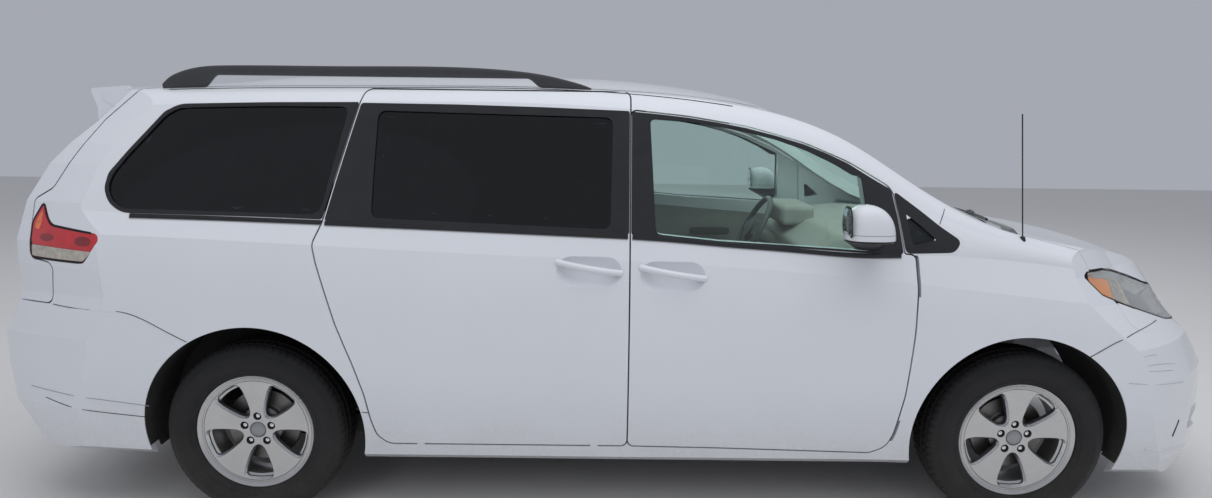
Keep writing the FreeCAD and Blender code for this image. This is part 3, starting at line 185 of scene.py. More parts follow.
def endGap(y, x, z):
    # signed distance past the nose or tail outline at that height (positive is outside)
    w = {key: wrapAt(key, z) for key in ("nose", "noseCorner", "tail", "tailCorner", "tailCornerY")}
    half, ny = bodyWrap["halfLength"], bodyWrap["noseCornerY"]
    zero = np.zeros_like(y)
    gaps = []
    for sign, middle, corner, cornerY, sideX, sideY, endX, endY in (
            (1.0, half + w["nose"], half + w["noseCorner"], zero + ny, half + w["noseCorner"] - 175,
             zero + ny + 185,
             half + w["noseCorner"] - 740, zero + bodyWrap["halfWidth"]),
            (-1.0, half - w["tail"], half - w["tailCorner"], w["tailCornerY"], half - w["tailCorner"] - 175,
             w["tailCornerY"] + 73, half - w["tailCorner"] - 400, w["tailCornerY"] + 135)):
        sag = middle - corner
        radius = (cornerY ** 2 + sag ** 2) / (2 * sag)
        face = middle - radius + np.sqrt(np.maximum(radius ** 2 - y ** 2, 0.0))
        faceSlope = y / np.maximum(np.sqrt(np.maximum(radius ** 2 - y ** 2, 1.0)), 1.0)
        cy, cx, cr = circleThrough(cornerY, corner, sideY, sideX, endY, endX)
        inner = np.sqrt(np.maximum(cr ** 2 - (y - cy) ** 2, 1.0))
        side = np.where(y > endY, endX - (y - endY) * 8.0, cx + inner)
        sideSlope = np.where(y > endY, 8.0, (y - cy) / inner)
        reach = np.where(y < cornerY, face, side)
        slope = np.where(y < cornerY, faceSlope, sideSlope)
        gaps.append((sign * x - reach) / np.sqrt(1 + slope ** 2))
    return np.maximum(gaps[0], gaps[1])


def bodyGap(p):
    # signed distance to the body's surface: the section's gap and the end outline's gap, joined by a
    # smooth maximum
    x, y, z = p[:, 0], np.abs(p[:, 1]), p[:, 2]
    s = sectionShape(x)
    across, above = y - halfWidth(s, z), z - topHeight(s, y)
    both = across * above / np.maximum(np.hypot(across, above), 1e-9)
    tube = np.where((across > 0) | (above > 0), np.maximum(across, np.where(above > 0, both, -1e9)),
                    -np.abs(both))
    tube = np.where(across > 0, np.where(above > 0, np.abs(both), np.minimum(across, 400.0)), tube)
    end = endGap(y, x, z)
    k = bodyWrap["rounding"]
    blend = np.maximum(k - np.abs(tube - end), 0.0) / k
    return np.maximum(tube, end) + blend ** 2 * k / 4


def bodyNormal(p, step=1.5):
    # outward direction: the gap's central differences, made unit length
    shifts = np.eye(3) * step
    g = np.stack([bodyGap(p + d) - bodyGap(p - d) for d in shifts], 1)
    return g / np.maximum(np.linalg.norm(g, axis=1, keepdims=True), 1e-9)


def castOut(start, direction, reach):
    # the place where a ray from inside leaves the body: halving steps on the gap's sign
    near, far = np.zeros(len(start)), np.full(len(start), float(reach))
    for _ in range(26):
        middle = (near + far) / 2
        inside = bodyGap(start + direction * middle[:, None]) < 0
        near, far = np.where(inside, middle, near), np.where(inside, far, middle)
    return start + direction * ((near + far) / 2)[:, None]


def newGroup(name, inputs, outputs):
    tree = bpy.data.node_groups.new(name, "ShaderNodeTree")
    for label, kind, value in inputs:
        socket = tree.interface.new_socket(name=label, in_out="INPUT", socket_type=kind)
        socket.default_value = value
    for label, kind in outputs:
        tree.interface.new_socket(name=label, in_out="OUTPUT", socket_type=kind)
    return tree, tree.nodes.new("NodeGroupInput"), tree.nodes.new("NodeGroupOutput")


def mathNode(tree, operation, a, b=None, clamp=False):
    node = tree.nodes.new("ShaderNodeMath")
    node.operation, node.use_clamp = operation, clamp
    for index, value in enumerate((a, b)):
        if value is None:
            continue
        if isinstance(value, (int, float)):
            node.inputs[index].default_value = value
        else:
            tree.links.new(value, node.inputs[index])
    return node.outputs[0]


def noiseNode(tree, scale, detail=3.0, roughness=0.55, vector=None):
    node = tree.nodes.new("ShaderNodeTexNoise")
    node.inputs["Detail"].default_value, node.inputs["Roughness"].default_value = detail, roughness
    if isinstance(scale, (int, float)):
        node.inputs["Scale"].default_value = scale
    else:
        tree.links.new(scale, node.inputs["Scale"])
    if vector is not None:
        tree.links.new(vector, node.inputs["Vector"])
    return node.outputs["Fac"]


def buildRoadDust():
    # dust mask: stronger towards the road, broken up by two sizes of noise
    tree, entry, leave = newGroup("roadDust", [("Amount", "NodeSocketFloat", 0.5),
                                               ("Top", "NodeSocketFloat", 0.7)],
                                  [("Mask", "NodeSocketFloat")])
    place = tree.nodes.new("ShaderNodeTexCoord").outputs["Object"]
    split = tree.nodes.new("ShaderNodeSeparateXYZ")
    tree.links.new(place, split.inputs[0])
    low = mathNode(tree, "DIVIDE", mathNode(tree, "SUBTRACT", entry.outputs["Top"], split.outputs["Z"]),
                   entry.outputs["Top"], True)
    patchy = mathNode(tree, "MULTIPLY", noiseNode(tree, 6.0, 5.0, 0.65, place),
                      noiseNode(tree, 70.0, 3.0, 0.6, place))
    mask = mathNode(tree, "MULTIPLY", mathNode(tree, "MULTIPLY", mathNode(tree, "POWER", low, 1.6), patchy),
                    3.0)
    tree.links.new(mathNode(tree, "MULTIPLY", mask, entry.outputs["Amount"], True), leave.inputs["Mask"])
    return tree


def buildFineGrain():
    # a bump height of two noise sizes, for moulded plastic, rubber, cast metal and road film
    tree, entry, leave = newGroup("fineGrain", [("Scale", "NodeSocketFloat", 400.0),
                                                ("Mottle", "NodeSocketFloat", 12.0)],
                                  [("Height", "NodeSocketFloat"), ("Mottle", "NodeSocketFloat")])
    place = tree.nodes.new("ShaderNodeTexCoord").outputs["Object"]
    tree.links.new(noiseNode(tree, entry.outputs["Scale"], 2.0, 0.5, place), leave.inputs["Height"])
    tree.links.new(noiseNode(tree, entry.outputs["Mottle"], 4.0, 0.6, place), leave.inputs["Mottle"])
    return tree


def buildClothWeave():
    # a plain weave: crossed waves of thread in the three planes, with slubs from noise
    tree, entry, leave = newGroup("clothWeave", [("Threads", "NodeSocketFloat", 900.0)],
                                  [("Height", "NodeSocketFloat"), ("Shade", "NodeSocketFloat")])
    place = tree.nodes.new("ShaderNodeTexCoord").outputs["Object"]
    split = tree.nodes.new("ShaderNodeSeparateXYZ")
    tree.links.new(place, split.inputs[0])
    waves = [mathNode(tree, "SINE", mathNode(tree, "MULTIPLY", split.outputs[axis],
                                             entry.outputs["Threads"]))
             for axis in "XYZ"]
    woven = mathNode(tree, "ADD", mathNode(tree, "MULTIPLY", waves[0], waves[1]), waves[2])
    tree.links.new(woven, leave.inputs["Height"])
    tree.links.new(noiseNode(tree, 35.0, 4.0, 0.6, place), leave.inputs["Shade"])
    return tree


roadDust, fineGrain, clothWeave = buildRoadDust(), buildFineGrain(), buildClothWeave()
print("node groups built")


def makeFinish(name, look):
    # one Principled shader: base colour mottled a little and dusted, roughness and bump from the grain
    # group
    material = bpy.data.materials.new(name)
    material.use_nodes = True
    tree = material.node_tree
    shader = tree.nodes["Principled BSDF"]
    grain = tree.nodes.new("ShaderNodeGroup")
    grain.node_tree = clothWeave if look.get("cloth") else fineGrain
    if look.get("cloth"):
        grain.inputs["Threads"].default_value = look["cloth"]
        shade = grain.outputs["Shade"]
    else:
        grain.inputs["Scale"].default_value = look.get("grainScale", 400.0)
        grain.inputs["Mottle"].default_value = look.get("mottleScale", 12.0)
        shade = grain.outputs["Mottle"]
    colour = np.array(look["colour"])
    ramp = tree.nodes.new("ShaderNodeMapRange")
    ramp.inputs["From Min"].default_value, ramp.inputs["From Max"].default_value = 0.3, 0.7
    tree.links.new(shade, ramp.inputs["Value"])
    mix = tree.nodes.new("ShaderNodeMix")
    mix.data_type = "RGBA"
    spread = look.get("spread", 0.04)
    mix.inputs[6].default_value = (*np.clip(colour * (1 - spread), 0, 1), 1)
    mix.inputs[7].default_value = (*np.clip(colour * (1 + spread), 0, 1), 1)
    tree.links.new(ramp.outputs[0], mix.inputs[0])
    tint, rough = mix.outputs[2], look.get("roughness", 0.5)
    if look.get("dust"):
        dust = tree.nodes.new("ShaderNodeGroup")
        dust.node_tree = roadDust
        dust.inputs["Amount"].default_value, dust.inputs["Top"].default_value = look["dust"], look.get("dustTop", 0.7)
        over = tree.nodes.new("ShaderNodeMix")
        over.data_type = "RGBA"
        over.inputs[7].default_value = (0.33, 0.29, 0.25, 1)
        tree.links.new(dust.outputs["Mask"], over.inputs[0])
        tree.links.new(tint, over.inputs[6])
        tint = over.outputs[2]
        roughMix = mathNode(tree, "ADD", mathNode(tree, "MULTIPLY", dust.outputs["Mask"], 0.5), rough, True)
        tree.links.new(roughMix, shader.inputs["Roughness"])
    else:
        roughMix = mathNode(tree, "ADD", mathNode(tree, "MULTIPLY", ramp.outputs[0],
                                                  look.get("roughSpread", 0.06)), rough)
        tree.links.new(roughMix, shader.inputs["Roughness"])
    tree.links.new(tint, shader.inputs["Base Color"])
    if look.get("bump", 0):
        bump = tree.nodes.new("ShaderNodeBump")
        bump.inputs["Strength"].default_value = look["bump"]
        bump.inputs["Distance"].default_value = look.get("bumpDepth", 0.0005)
        tree.links.new(grain.outputs["Height"], bump.inputs["Height"])
        tree.links.new(bump.outputs["Normal"], shader.inputs["Normal"])
    for socket, key in (("Metallic", "metallic"), ("Coat Weight", "coat"),
                        ("Coat Roughness", "coatRoughness"),
                        ("Transmission Weight", "transmission"), ("IOR", "ior"), ("Sheen Weight", "sheen"),
                        ("Specular IOR Level", "specular")):
        if key in look:
            shader.inputs[socket].default_value = look[key]
    if look.get("shadowClear"):
        # glass lets the light rays through to what is behind it
        clear = tree.nodes.new("ShaderNodeBsdfTransparent")
        clear.inputs[0].default_value = (*look["shadowClear"], 1)
        blend = tree.nodes.new("ShaderNodeMixShader")
        path = tree.nodes.new("ShaderNodeLightPath")
        tree.links.new(path.outputs["Is Shadow Ray"], blend.inputs[0])
        tree.links.new(shader.outputs[0], blend.inputs[1])
        tree.links.new(clear.outputs[0], blend.inputs[2])
        tree.links.new(blend.outputs[0], tree.nodes["Material Output"].inputs["Surface"])
    material.diffuse_color = (*colour, 1)
    return material


looks = {
    "whitePaint": {"colour": (0.74, 0.765, 0.81), "roughness": 0.34, "coat": 1.0, "coatRoughness": 0.04,
                   "grainScale": 900.0, "bump": 0.015, "mottleScale": 2.0, "spread": 0.012, "dust": 0.5,
                   "dustTop": 0.62},
    "clearGlass": {"colour": (0.80, 0.93, 0.89), "roughness": 0.0, "transmission": 1.0, "ior": 1.45,
                   "spread": 0.0,
                   "roughSpread": 0.01, "shadowClear": (0.80, 0.92, 0.88)},
    "darkGlass": {"colour": (0.022, 0.026, 0.030), "roughness": 0.0, "transmission": 1.0, "ior": 1.5,
                  "spread": 0.02,
                  "roughSpread": 0.01, "shadowClear": (0.03, 0.04, 0.045)},
    "blackTrim": {"colour": (0.018, 0.018, 0.021), "roughness": 0.32, "grainScale": 700.0, "bump": 0.05,
                  "spread": 0.15,
                  "dust": 0.12},
    "blackPlastic": {"colour": (0.028, 0.028, 0.03), "roughness": 0.55, "grainScale": 550.0, "bump": 0.25,
                     "spread": 0.15, "dust": 0.6},
    "linerPlastic": {"colour": (0.02, 0.02, 0.021), "roughness": 0.8, "grainScale": 180.0, "bump": 0.5,
                     "spread": 0.2,
                     "dust": 0.25, "dustTop": 0.8},
    "tyreRubber": {"colour": (0.011, 0.011, 0.012), "roughness": 0.72, "grainScale": 300.0, "bump": 0.3,
                   "spread": 0.2, "dust": 0.07, "dustTop": 0.72},
    "silverAlloy": {"colour": (0.60, 0.60, 0.595), "roughness": 0.27, "metallic": 0.9, "grainScale": 1200.0,
                    "bump": 0.05,
                    "coat": 0.5, "coatRoughness": 0.15, "spread": 0.05, "dust": 0.18, "dustTop": 0.6},
    # painted highlight: a lighter, glossier copy of the silver alloy for the spokes' chamfers
    "highlightAlloy": {"colour": (0.80, 0.81, 0.82), "roughness": 0.2, "metallic": 0.95, "grainScale": 900.0,
                    "bump": 0.03,
                    "spread": 0.04},
    "capGrey": {"colour": (0.33, 0.34, 0.35), "roughness": 0.3, "metallic": 0.7, "grainScale": 600.0,
                "bump": 0.05,
                "spread": 0.08},
    # painted shade: a dark copy of the alloy for the spoke windows' deep walls and the star's back, with road dust
    "shadedAlloy": {"colour": (0.10, 0.10, 0.105), "roughness": 0.5, "metallic": 0.6, "grainScale": 300.0,
                  "bump": 0.1,
                  "spread": 0.2, "dust": 0.5},
    "discSteel": {"colour": (0.25, 0.24, 0.23), "roughness": 0.38, "metallic": 1.0, "grainScale": 500.0,
                  "bump": 0.2,
                  "spread": 0.3},
    "darkSteel": {"colour": (0.03, 0.03, 0.032), "roughness": 0.6, "metallic": 0.3, "grainScale": 160.0,
                  "bump": 0.3,
                  "spread": 0.3, "dust": 0.25},
    "castMetal": {"colour": (0.24, 0.24, 0.245), "roughness": 0.55, "metallic": 0.8, "grainScale": 220.0,
                  "bump": 0.6,
                  "spread": 0.2},
    "exhaustSteel": {"colour": (0.36, 0.33, 0.30), "roughness": 0.42, "metallic": 0.9, "grainScale": 60.0,
                     "bump": 0.2,
                     "spread": 0.35, "dust": 0.3},
    "chrome": {"colour": (0.86, 0.87, 0.88), "roughness": 0.08, "metallic": 1.0, "grainScale": 60.0,
               "bump": 0.01,
               "spread": 0.02},
    "satinTrim": {"colour": (0.42, 0.43, 0.44), "roughness": 0.3, "metallic": 0.9, "grainScale": 700.0,
                  "bump": 0.05,
                  "spread": 0.05},
    "seamBlack": {"colour": (0.012, 0.012, 0.013), "roughness": 0.7, "grainScale": 400.0, "bump": 0.1,
                  "spread": 0.2},
    # grey for the mirror's seam band, and for the painted shade line in the rear crease
    "seamGrey": {"colour": (0.28, 0.28, 0.28), "roughness": 0.6, "grainScale": 400.0, "bump": 0.1,
                 "spread": 0.1},
    "cowlGrey": {"colour": (0.085, 0.087, 0.09), "roughness": 0.6, "grainScale": 300.0, "bump": 0.2,
                 "spread": 0.12,
                 "dust": 0.3},
    "scratchGrey": {"colour": (0.42, 0.42, 0.43), "roughness": 0.6, "grainScale": 300.0, "bump": 0.2,
                    "spread": 0.25},
    "plateWhite": {"colour": (0.80, 0.81, 0.82), "roughness": 0.3, "grainScale": 500.0, "bump": 0.05,
                   "spread": 0.02,
                   "dust": 0.3},
    "railBlack": {"colour": (0.035, 0.036, 0.04), "roughness": 0.36, "grainScale": 500.0, "bump": 0.12,
                  "spread": 0.1,
                  "specular": 0.7},
    "mirrorGlass": {"colour": (0.78, 0.80, 0.82), "roughness": 0.02, "metallic": 1.0, "grainScale": 20.0,
                    "spread": 0.01,
                    "roughSpread": 0.01},
    # painted highlight: the orange patch in the tail lamps' red lens
    "glowLens": {"colour": (0.85, 0.16, 0.03), "roughness": 0.1, "coat": 1.0, "coatRoughness": 0.02,
                 "spread": 0.25,
                 "mottleScale": 60.0, "grainScale": 200.0, "bump": 0.2},
    "deepRed": {"colour": (0.20, 0.004, 0.008), "roughness": 0.08, "coat": 1.0, "coatRoughness": 0.02,
                "spread": 0.3,
                "grainScale": 200.0, "bump": 0.2},
    "clearRibs": {"colour": (0.60, 0.55, 0.47), "roughness": 0.16, "metallic": 0.55, "coat": 1.0,
                  "coatRoughness": 0.03,
                  "grainScale": 110.0, "bump": 0.6, "bumpDepth": 0.001, "spread": 0.25,
                  "mottleScale": 45.0},
    "bowlChrome": {"colour": (0.78, 0.79, 0.77), "roughness": 0.1, "metallic": 1.0, "grainScale": 70.0,
                   "bump": 0.2,
                   "spread": 0.06},
    "lampLens": {"colour": (0.93, 0.94, 0.92), "roughness": 0.02, "transmission": 1.0, "ior": 1.46,
                 "spread": 0.01,
                 "roughSpread": 0.05, "shadowClear": (0.9, 0.9, 0.88)},
    "amberLens": {"colour": (0.98, 0.30, 0.03), "roughness": 0.12, "transmission": 0.2, "ior": 1.46,
                  "spread": 0.05,
                  "grainScale": 220.0, "bump": 0.25},
    "redLens": {"colour": (0.55, 0.012, 0.02), "roughness": 0.06, "coat": 1.0, "coatRoughness": 0.02,
                "spread": 0.12,
                "grainScale": 140.0, "bump": 0.12, "mottleScale": 30.0},
    "reflector": {"colour": (0.80, 0.81, 0.80), "roughness": 0.14, "metallic": 1.0, "grainScale": 90.0,
                  "bump": 0.1,
                  "spread": 0.05},
    "lampBlack": {"colour": (0.03, 0.03, 0.032), "roughness": 0.35, "spread": 0.1, "grainScale": 500.0,
                  "bump": 0.1},
    "cabinGrey": {"colour": (0.33, 0.32, 0.30), "roughness": 0.62, "grainScale": 600.0, "bump": 0.35,
                  "spread": 0.05},
    "cabinDark": {"colour": (0.055, 0.055, 0.056), "roughness": 0.55, "grainScale": 600.0, "bump": 0.35,
                  "spread": 0.1},
    "wheelLeather": {"colour": (0.10, 0.10, 0.10), "roughness": 0.42, "grainScale": 260.0, "bump": 0.4,
                     "spread": 0.1},
    "seatCloth": {"colour": (0.36, 0.355, 0.34), "roughness": 0.85, "cloth": 2600.0, "bump": 0.5,
                  "bumpDepth": 0.0004,
                  "sheen": 0.3, "spread": 0.08},
    "carpet": {"colour": (0.12, 0.115, 0.11), "roughness": 0.95, "grainScale": 320.0, "bump": 0.9,
               "spread": 0.2,
               "bumpDepth": 0.002},
}
finish = {name: makeFinish(name, look) for name, look in looks.items()}
print("materials built:", len(finish))


keptPieces = {
    "whitePaint": ["body_side_left", "body_side_right", "roof_panel", "hood", "fenders", "front_bumper",
                   "rear_bumper",
                   "liftgate", "sliding_doors", "front_door_left", "front_door_right", "fuel_lid"],
    "clearGlass": ["windscreen", "door_glass_left", "door_glass_right"],
    "darkGlass": ["side_glass", "liftgate_glass"],
    "linerPlastic": ["arch_liners", "bulkhead", "fuel_tank"],
    "darkSteel": ["front_suspension", "rear_axle", "knuckle_left", "knuckle_right"],
    "carpet": ["floor_pan"], "castMetal": ["engine"], "exhaustSteel": ["exhaust"],
}
for finishName, names in keptPieces.items():
    for nodeName in names:
        mesh = nodes[nodeName].data
        mesh.materials.clear()
        mesh.materials.append(finish[finishName])


# Outlines are N x 2 arrays: (x, z) seen from the side, (x, y) from above, (y, z) from the front or the
# back.
def resampled(line, step, closed=True):
    line = np.vstack([line, line[:1]]) if closed else np.asarray(line, float)
    along = np.concatenate([[0.0], np.cumsum(np.linalg.norm(np.diff(line, axis=0), axis=1))])
    count = max(int(round(along[-1] / step)), 3)
    t = np.linspace(0, along[-1], count + 1)
    t = t[:-1] if closed else t
    return np.stack([np.interp(t, along, column) for column in line.T], 1)


def softCorners(points, radius=20.0, step=9.0):
    # each corner p becomes (1-t)^2 a + 2t(1-t) p + t^2 c, with a and c up to radius away on its two edges
    p = np.asarray(points, float)
    toLast, toNext = np.roll(p, 1, 0) - p, np.roll(p, -1, 0) - p
    lengthLast, lengthNext = np.linalg.norm(toLast, axis=1), np.linalg.norm(toNext, axis=1)
    reach = np.minimum(radius, 0.45 * np.minimum(lengthLast, lengthNext))
    a, c = p + toLast * (reach / lengthLast)[:, None], p + toNext * (reach / lengthNext)[:, None]
    t = np.linspace(0, 1, 7)[None, :, None]
    curve = (1 - t) ** 2 * a[:, None] + 2 * t * (1 - t) * p[:, None] + t ** 2 * c[:, None]
    return resampled(curve.reshape(-1, 2), step)


def smoothLine(points, step=14.0):
    # a natural cubic through the points, along their chord length
    p = np.asarray(points, float)
    along = np.concatenate([[0.0], np.cumsum(np.linalg.norm(np.diff(p, axis=0), axis=1))])
    t = np.linspace(0, along[-1], max(int(along[-1] / step), 4))
    return np.stack([cubicThrough(along, column)(t) for column in p.T], 1)


def signedArea(loop):
    x, y = loop[:, 0], loop[:, 1]
    return 0.5 * np.sum(x * np.roll(y, -1) - np.roll(x, -1) * y)


def grown(loop, distance):
    # moves an outline outwards along its own normals
    ahead = np.roll(loop, -1, 0) - np.roll(loop, 1, 0)
    normal = np.stack([ahead[:, 1], -ahead[:, 0]], 1) / np.maximum(np.linalg.norm(ahead, axis=1),
                                                                   1e-9)[:, None]
    return loop + normal * distance * np.sign(signedArea(loop))


def insideOf(points, loop):
    # even-odd rule: how many of the outline's edges a level ray crosses
    x, z = points[:, 0:1], points[:, 1:2]
    ax, az = loop.T
    bx, bz = np.roll(loop, -1, 0).T
    crossed = ((az > z) != (bz > z)) & (x < ax + (z - az) * (bx - ax) / np.where(bz == az, 1e-9, bz - az))
    return crossed.sum(1) % 2 == 1


def edgeDistance(points, loops):
    starts = np.vstack(loops)
    ends = np.vstack([np.roll(loop, -1, 0) for loop in loops])
    edge = ends - starts
    t = np.clip(((points[:, None] - starts) * edge).sum(2) / np.maximum((edge ** 2).sum(1), 1e-9), 0, 1)
    return np.linalg.norm(points[:, None] - starts - t[..., None] * edge, axis=2).min(1)


def inSheet(points, loops):
    inside = insideOf(points, loops[0])
    for hole in loops[1:]:
        inside &= ~insideOf(points, hole)
    return inside


def cutSheet(loops, cell):
    # the triangles of a flat sheet: first loop outside, the others holes, and a grid of points between
    low, high = loops[0].min(0), loops[0].max(0)
    across, up = np.meshgrid(np.arange(low[0], high[0], cell), np.arange(low[1], high[1], cell))
    grid = np.stack([across.ravel(), up.ravel()], 1)
    grid = grid[inSheet(grid, loops)]
    if len(grid):
        grid = grid[edgeDistance(grid, loops) > 0.4 * cell]
    starts = np.cumsum([0] + [len(loop) for loop in loops])
    edges = np.vstack([np.stack([np.arange(len(loop)), np.roll(np.arange(len(loop)), -1)], 1) + start
                       for loop, start in zip(loops, starts)])
    found = delaunay_2d_cdt(np.vstack([*loops, grid]).tolist(), edges.tolist(), [], 0, 1e-7)
    flat = np.array([tuple(point) for point in found[0]])
    triangles = np.array([face for face in found[2] if len(face) == 3])
    return flat, triangles[inSheet(flat[triangles].mean(1), loops)]


viewAxes = {"side": ((1, 0, 0), (0, 0, 1)), "top": ((1, 0, 0), (0, 1, 0)), "rear": ((0, 1, 0), (0, 0, 1)),
            "front": ((0, 1, 0), (0, 0, 1))}


def onBody(flat, view, side):
    # the body's surface at flat points, and its outward normals
    u, v, n = flat[:, 0], flat[:, 1], len(flat)
    start, direction = {
        "side": (np.stack([u, np.full(n, 250.0 * side), v], 1), (0.0, side, 0.0)),
        "top": (np.stack([u, v, np.full(n, 650.0)], 1), (0.0, 0.0, 1.0)),
        "rear": (np.stack([np.full(n, -1700.0), u, v], 1), (-1.0, 0.0, 0.0)),
        "front": (np.stack([np.full(n, 1500.0), u, v], 1), (1.0, 0.0, 0.0)),
    }[view]
    place = castOut(start, np.tile(direction, (n, 1)), 1500.0)
    return place, bodyNormal(place)


def facing(points, faces, outward):
    # faces turned so that each looks along its outward direction
    corners = points[faces]
    normal = np.cross(corners[:, 1] - corners[:, 0], corners[:, 2] - corners[:, 0])
    wrong = (normal * outward).sum(1) < 0
    faces = faces.copy()
    faces[wrong] = faces[wrong][:, ::-1]
    return faces


def gridFaces(rows, columns, closeRows=False, closeColumns=False):
    # quads over points stored row by row; a closed direction joins its last line to its first
    i, j = np.meshgrid(np.arange(rows if closeRows else rows - 1),
                       np.arange(columns if closeColumns else columns - 1),
                       indexing="ij")
    nextI, nextJ = (i + 1) % rows, (j + 1) % columns
    return np.stack([i * columns + j, i * columns + nextJ, nextI * columns + nextJ, nextI * columns + j],
                    -1).reshape(-1, 4)


def ringFaces(count):
    # quads between two closed rows of points
    return gridFaces(2, count, closeColumns=True)


def signedPower(value, power):
    # used for superellipses: |value|^power with the sign of value
    return np.sign(value) * np.abs(value) ** power


def eased(t):
    # 0 to 1 with level ends: 3t^2 - 2t^3
    t = np.clip(t, 0, 1)
    return 3 * t ** 2 - 2 * t ** 3


def skinPatch(name, loops, view, side, body, look, lift=1.2, depth=2.4, cell=34.0):
    # a thin sheet on the body, with rims that run down into the panel; the holes' rims may go deeper
    depths = depth if isinstance(depth, (list, tuple)) else [depth] * len(loops)
    flat, triangles = cutSheet(loops, cell)
    place, normal = onBody(flat, view, side)
    points, normals = [place + normal * lift], [normal]
    faces = [facing(points[0], triangles, normal[triangles[:, 0]])]
    axes = np.array(viewAxes[view], float)
    count = len(flat)
    for index, (loop, down) in enumerate(zip(loops, depths)):
        edge, lean = onBody(loop, view, side)
        ahead = np.roll(loop, -1, 0) - np.roll(loop, 1, 0)
        turn = np.sign(signedArea(loop)) * (1 if index == 0 else -1)
        away = (np.stack([ahead[:, 1], -ahead[:, 0]], 1) * turn) @ axes
        away /= np.maximum(np.linalg.norm(away, axis=1, keepdims=True), 1e-9)
        rows = np.vstack([edge + lean * lift, edge + lean * (lift - down)])
        quads = ringFaces(len(loop))
        faces.append(facing(rows, quads, away[quads[:, 0] % len(loop)]) + count)
        points.append(rows)
        normals.append(np.vstack([away, away]))
        count += len(rows)
    piece = addMesh(name, np.vstack(points), faces, body, look)
    piece.data.normals_split_custom_set_from_vertices(np.vstack(normals).tolist())
    return piece


def sweep(name, place, normal, profile, body, look, upward, closed=False):
    # a closed profile of (across, out) points carried along a line of places with their outward normals
    ahead = np.roll(place, -1, 0) - np.roll(place, 1, 0) if closed else np.gradient(place, axis=0)
    ahead /= np.maximum(np.linalg.norm(ahead, axis=1, keepdims=True), 1e-9)
    across = np.cross(normal, ahead)
    across /= np.maximum(np.linalg.norm(across, axis=1, keepdims=True), 1e-9)
    across *= 1 if (across @ np.array(upward, float)).sum() > 0 else -1
    shape = np.asarray(profile, float)
    rows = place[:, None] + across[:, None] * shape[None, :, 0:1] + normal[:, None] * shape[None, :, 1:2]
    n, k = len(place), len(shape)
    quads = gridFaces(n, k, closed, True)
    points = rows.reshape(-1, 3)
    faces = [facing(points, quads, points[quads].mean(1) - rows.mean(1)[quads[:, 0] // k])]
    if not closed:
        faces.append(np.array([np.arange(k)[::-1], np.arange(k) + (n - 1) * k]))
    return addMesh(name, points, faces, body, look, flatEdges=35)


sideNames = {-1: "right", 1: "left"}
doorBodies = {-1: "front_door_right", 1: "front_door_left"}

# The windows' black surrounds, as outlines (x, z) on the body with the glass left open.
windowTrim = {
    "sliding": [(-1079, 1652), (-700, 1650), (-350, 1643), (-14.5, 1632), (-14.5, 1161), (-600, 1181),
                (-1193, 1200)],
    "slidingGlass": [(-1009, 1623), (-1014, 1213), (-87, 1180), (-81, 1606)],
    "front": [(-6.5, 1630), (110, 1620), (215, 1609), (330, 1592), (446, 1571), (560, 1543), (674, 1510),
              (762, 1476),
              (843, 1439), (930, 1386), (1009, 1341), (1026, 1240), (1046, 1100), (922, 1101), (620, 1119),
              (337, 1138),
              (-6.5, 1161)],
    "frontGlass": [(66, 1604), (215, 1594), (330, 1578), (445, 1558), (560, 1530), (673, 1492), (780, 1443),
                   (864, 1394),
                   (893, 1394), (919, 1109), (620, 1127), (337, 1141), (89, 1164)],
    "corner": [(1018, 1338), (1075, 1296), (1126, 1258), (1190, 1206), (1274, 1149), (1246, 1106),
               (1055.5, 1101)],
    "cornerGlass": [(1053, 1262), (1120, 1210), (1187, 1150), (1078, 1127)],
    "quarter": [(-1106, 1652), (-1199, 1208), (-1500, 1214), (-1800, 1220), (-1975, 1222), (-2030, 1260),
                (-2053, 1318),
                (-2040, 1372), (-1985, 1450), (-1915, 1536), (-1856, 1610), (-1800, 1640), (-1450, 1650)],
    "quarterSeam": [(-1087, 1655), (-1202, 1205)], "glassRecess": 7.6, "lift": 1.0,
}


def addWindowTrim(values):
    for side, sideName in sideNames.items():
        for part, hole, edge, radius, inset, body in (("sliding", "slidingGlass", 7.0, 34.0, 0.0,
                                                       "car_body"),
                                                      ("front", "frontGlass", 7.0, 22.0, 0.0,
                                                       doorBodies[side]),
                                                      ("corner", "cornerGlass", 22.0, 22.0, -5.0,
                                                       "car_body")):
            outer, inner = softCorners(values[part], edge,
                                       11.0), grown(softCorners(values[hole], radius, 9.0), inset)
            skinPatch("%sSurround_%s" % (part, sideName), [outer, inner], "side", side, body, "blackTrim",
                      values["lift"], [2.2, values["glassRecess"]])
        # the outline runs square into the door's seam, and the hole keeps its round corners
        hole = grown(softCorners(values["quarter"], 60.0, 11.0), -15.0)
        corners = values["quarterSeam"] + values["quarter"][2:]
        outer = softCorners(corners, np.array([6.0, 6.0] + [60.0] * (len(corners) - 2)), 11.0)
        skinPatch("quarterSurround_%s" % sideName, [outer, hole], "side", side, "car_body",
                  "blackTrim", values["lift"], [2.2, values["glassRecess"]])
    print("window surrounds done")


# The mouldings under the windows: a black bar and a lighter line along its lower edge.
beltTrim = {
    "lines": {"rear": [(-1940, 1213), (-1600, 1206), (-1203, 1195)],
              "sliding": [(-1190, 1193), (-600, 1174), (-19, 1154)],
              "front": [(-2, 1153), (170, 1143), (337, 1130), (620, 1111), (911, 1093), (1036, 1095)]},
    "bar": [(-9, -1), (-9, 2.5), (-6, 4.6), (5, 4.6), (8, 2.0), (8, -1)],
    "line": [(-13, -1), (-13, 2.2), (-11.5, 3.4), (-9.6, 2.2), (-9.6, -1)],
}


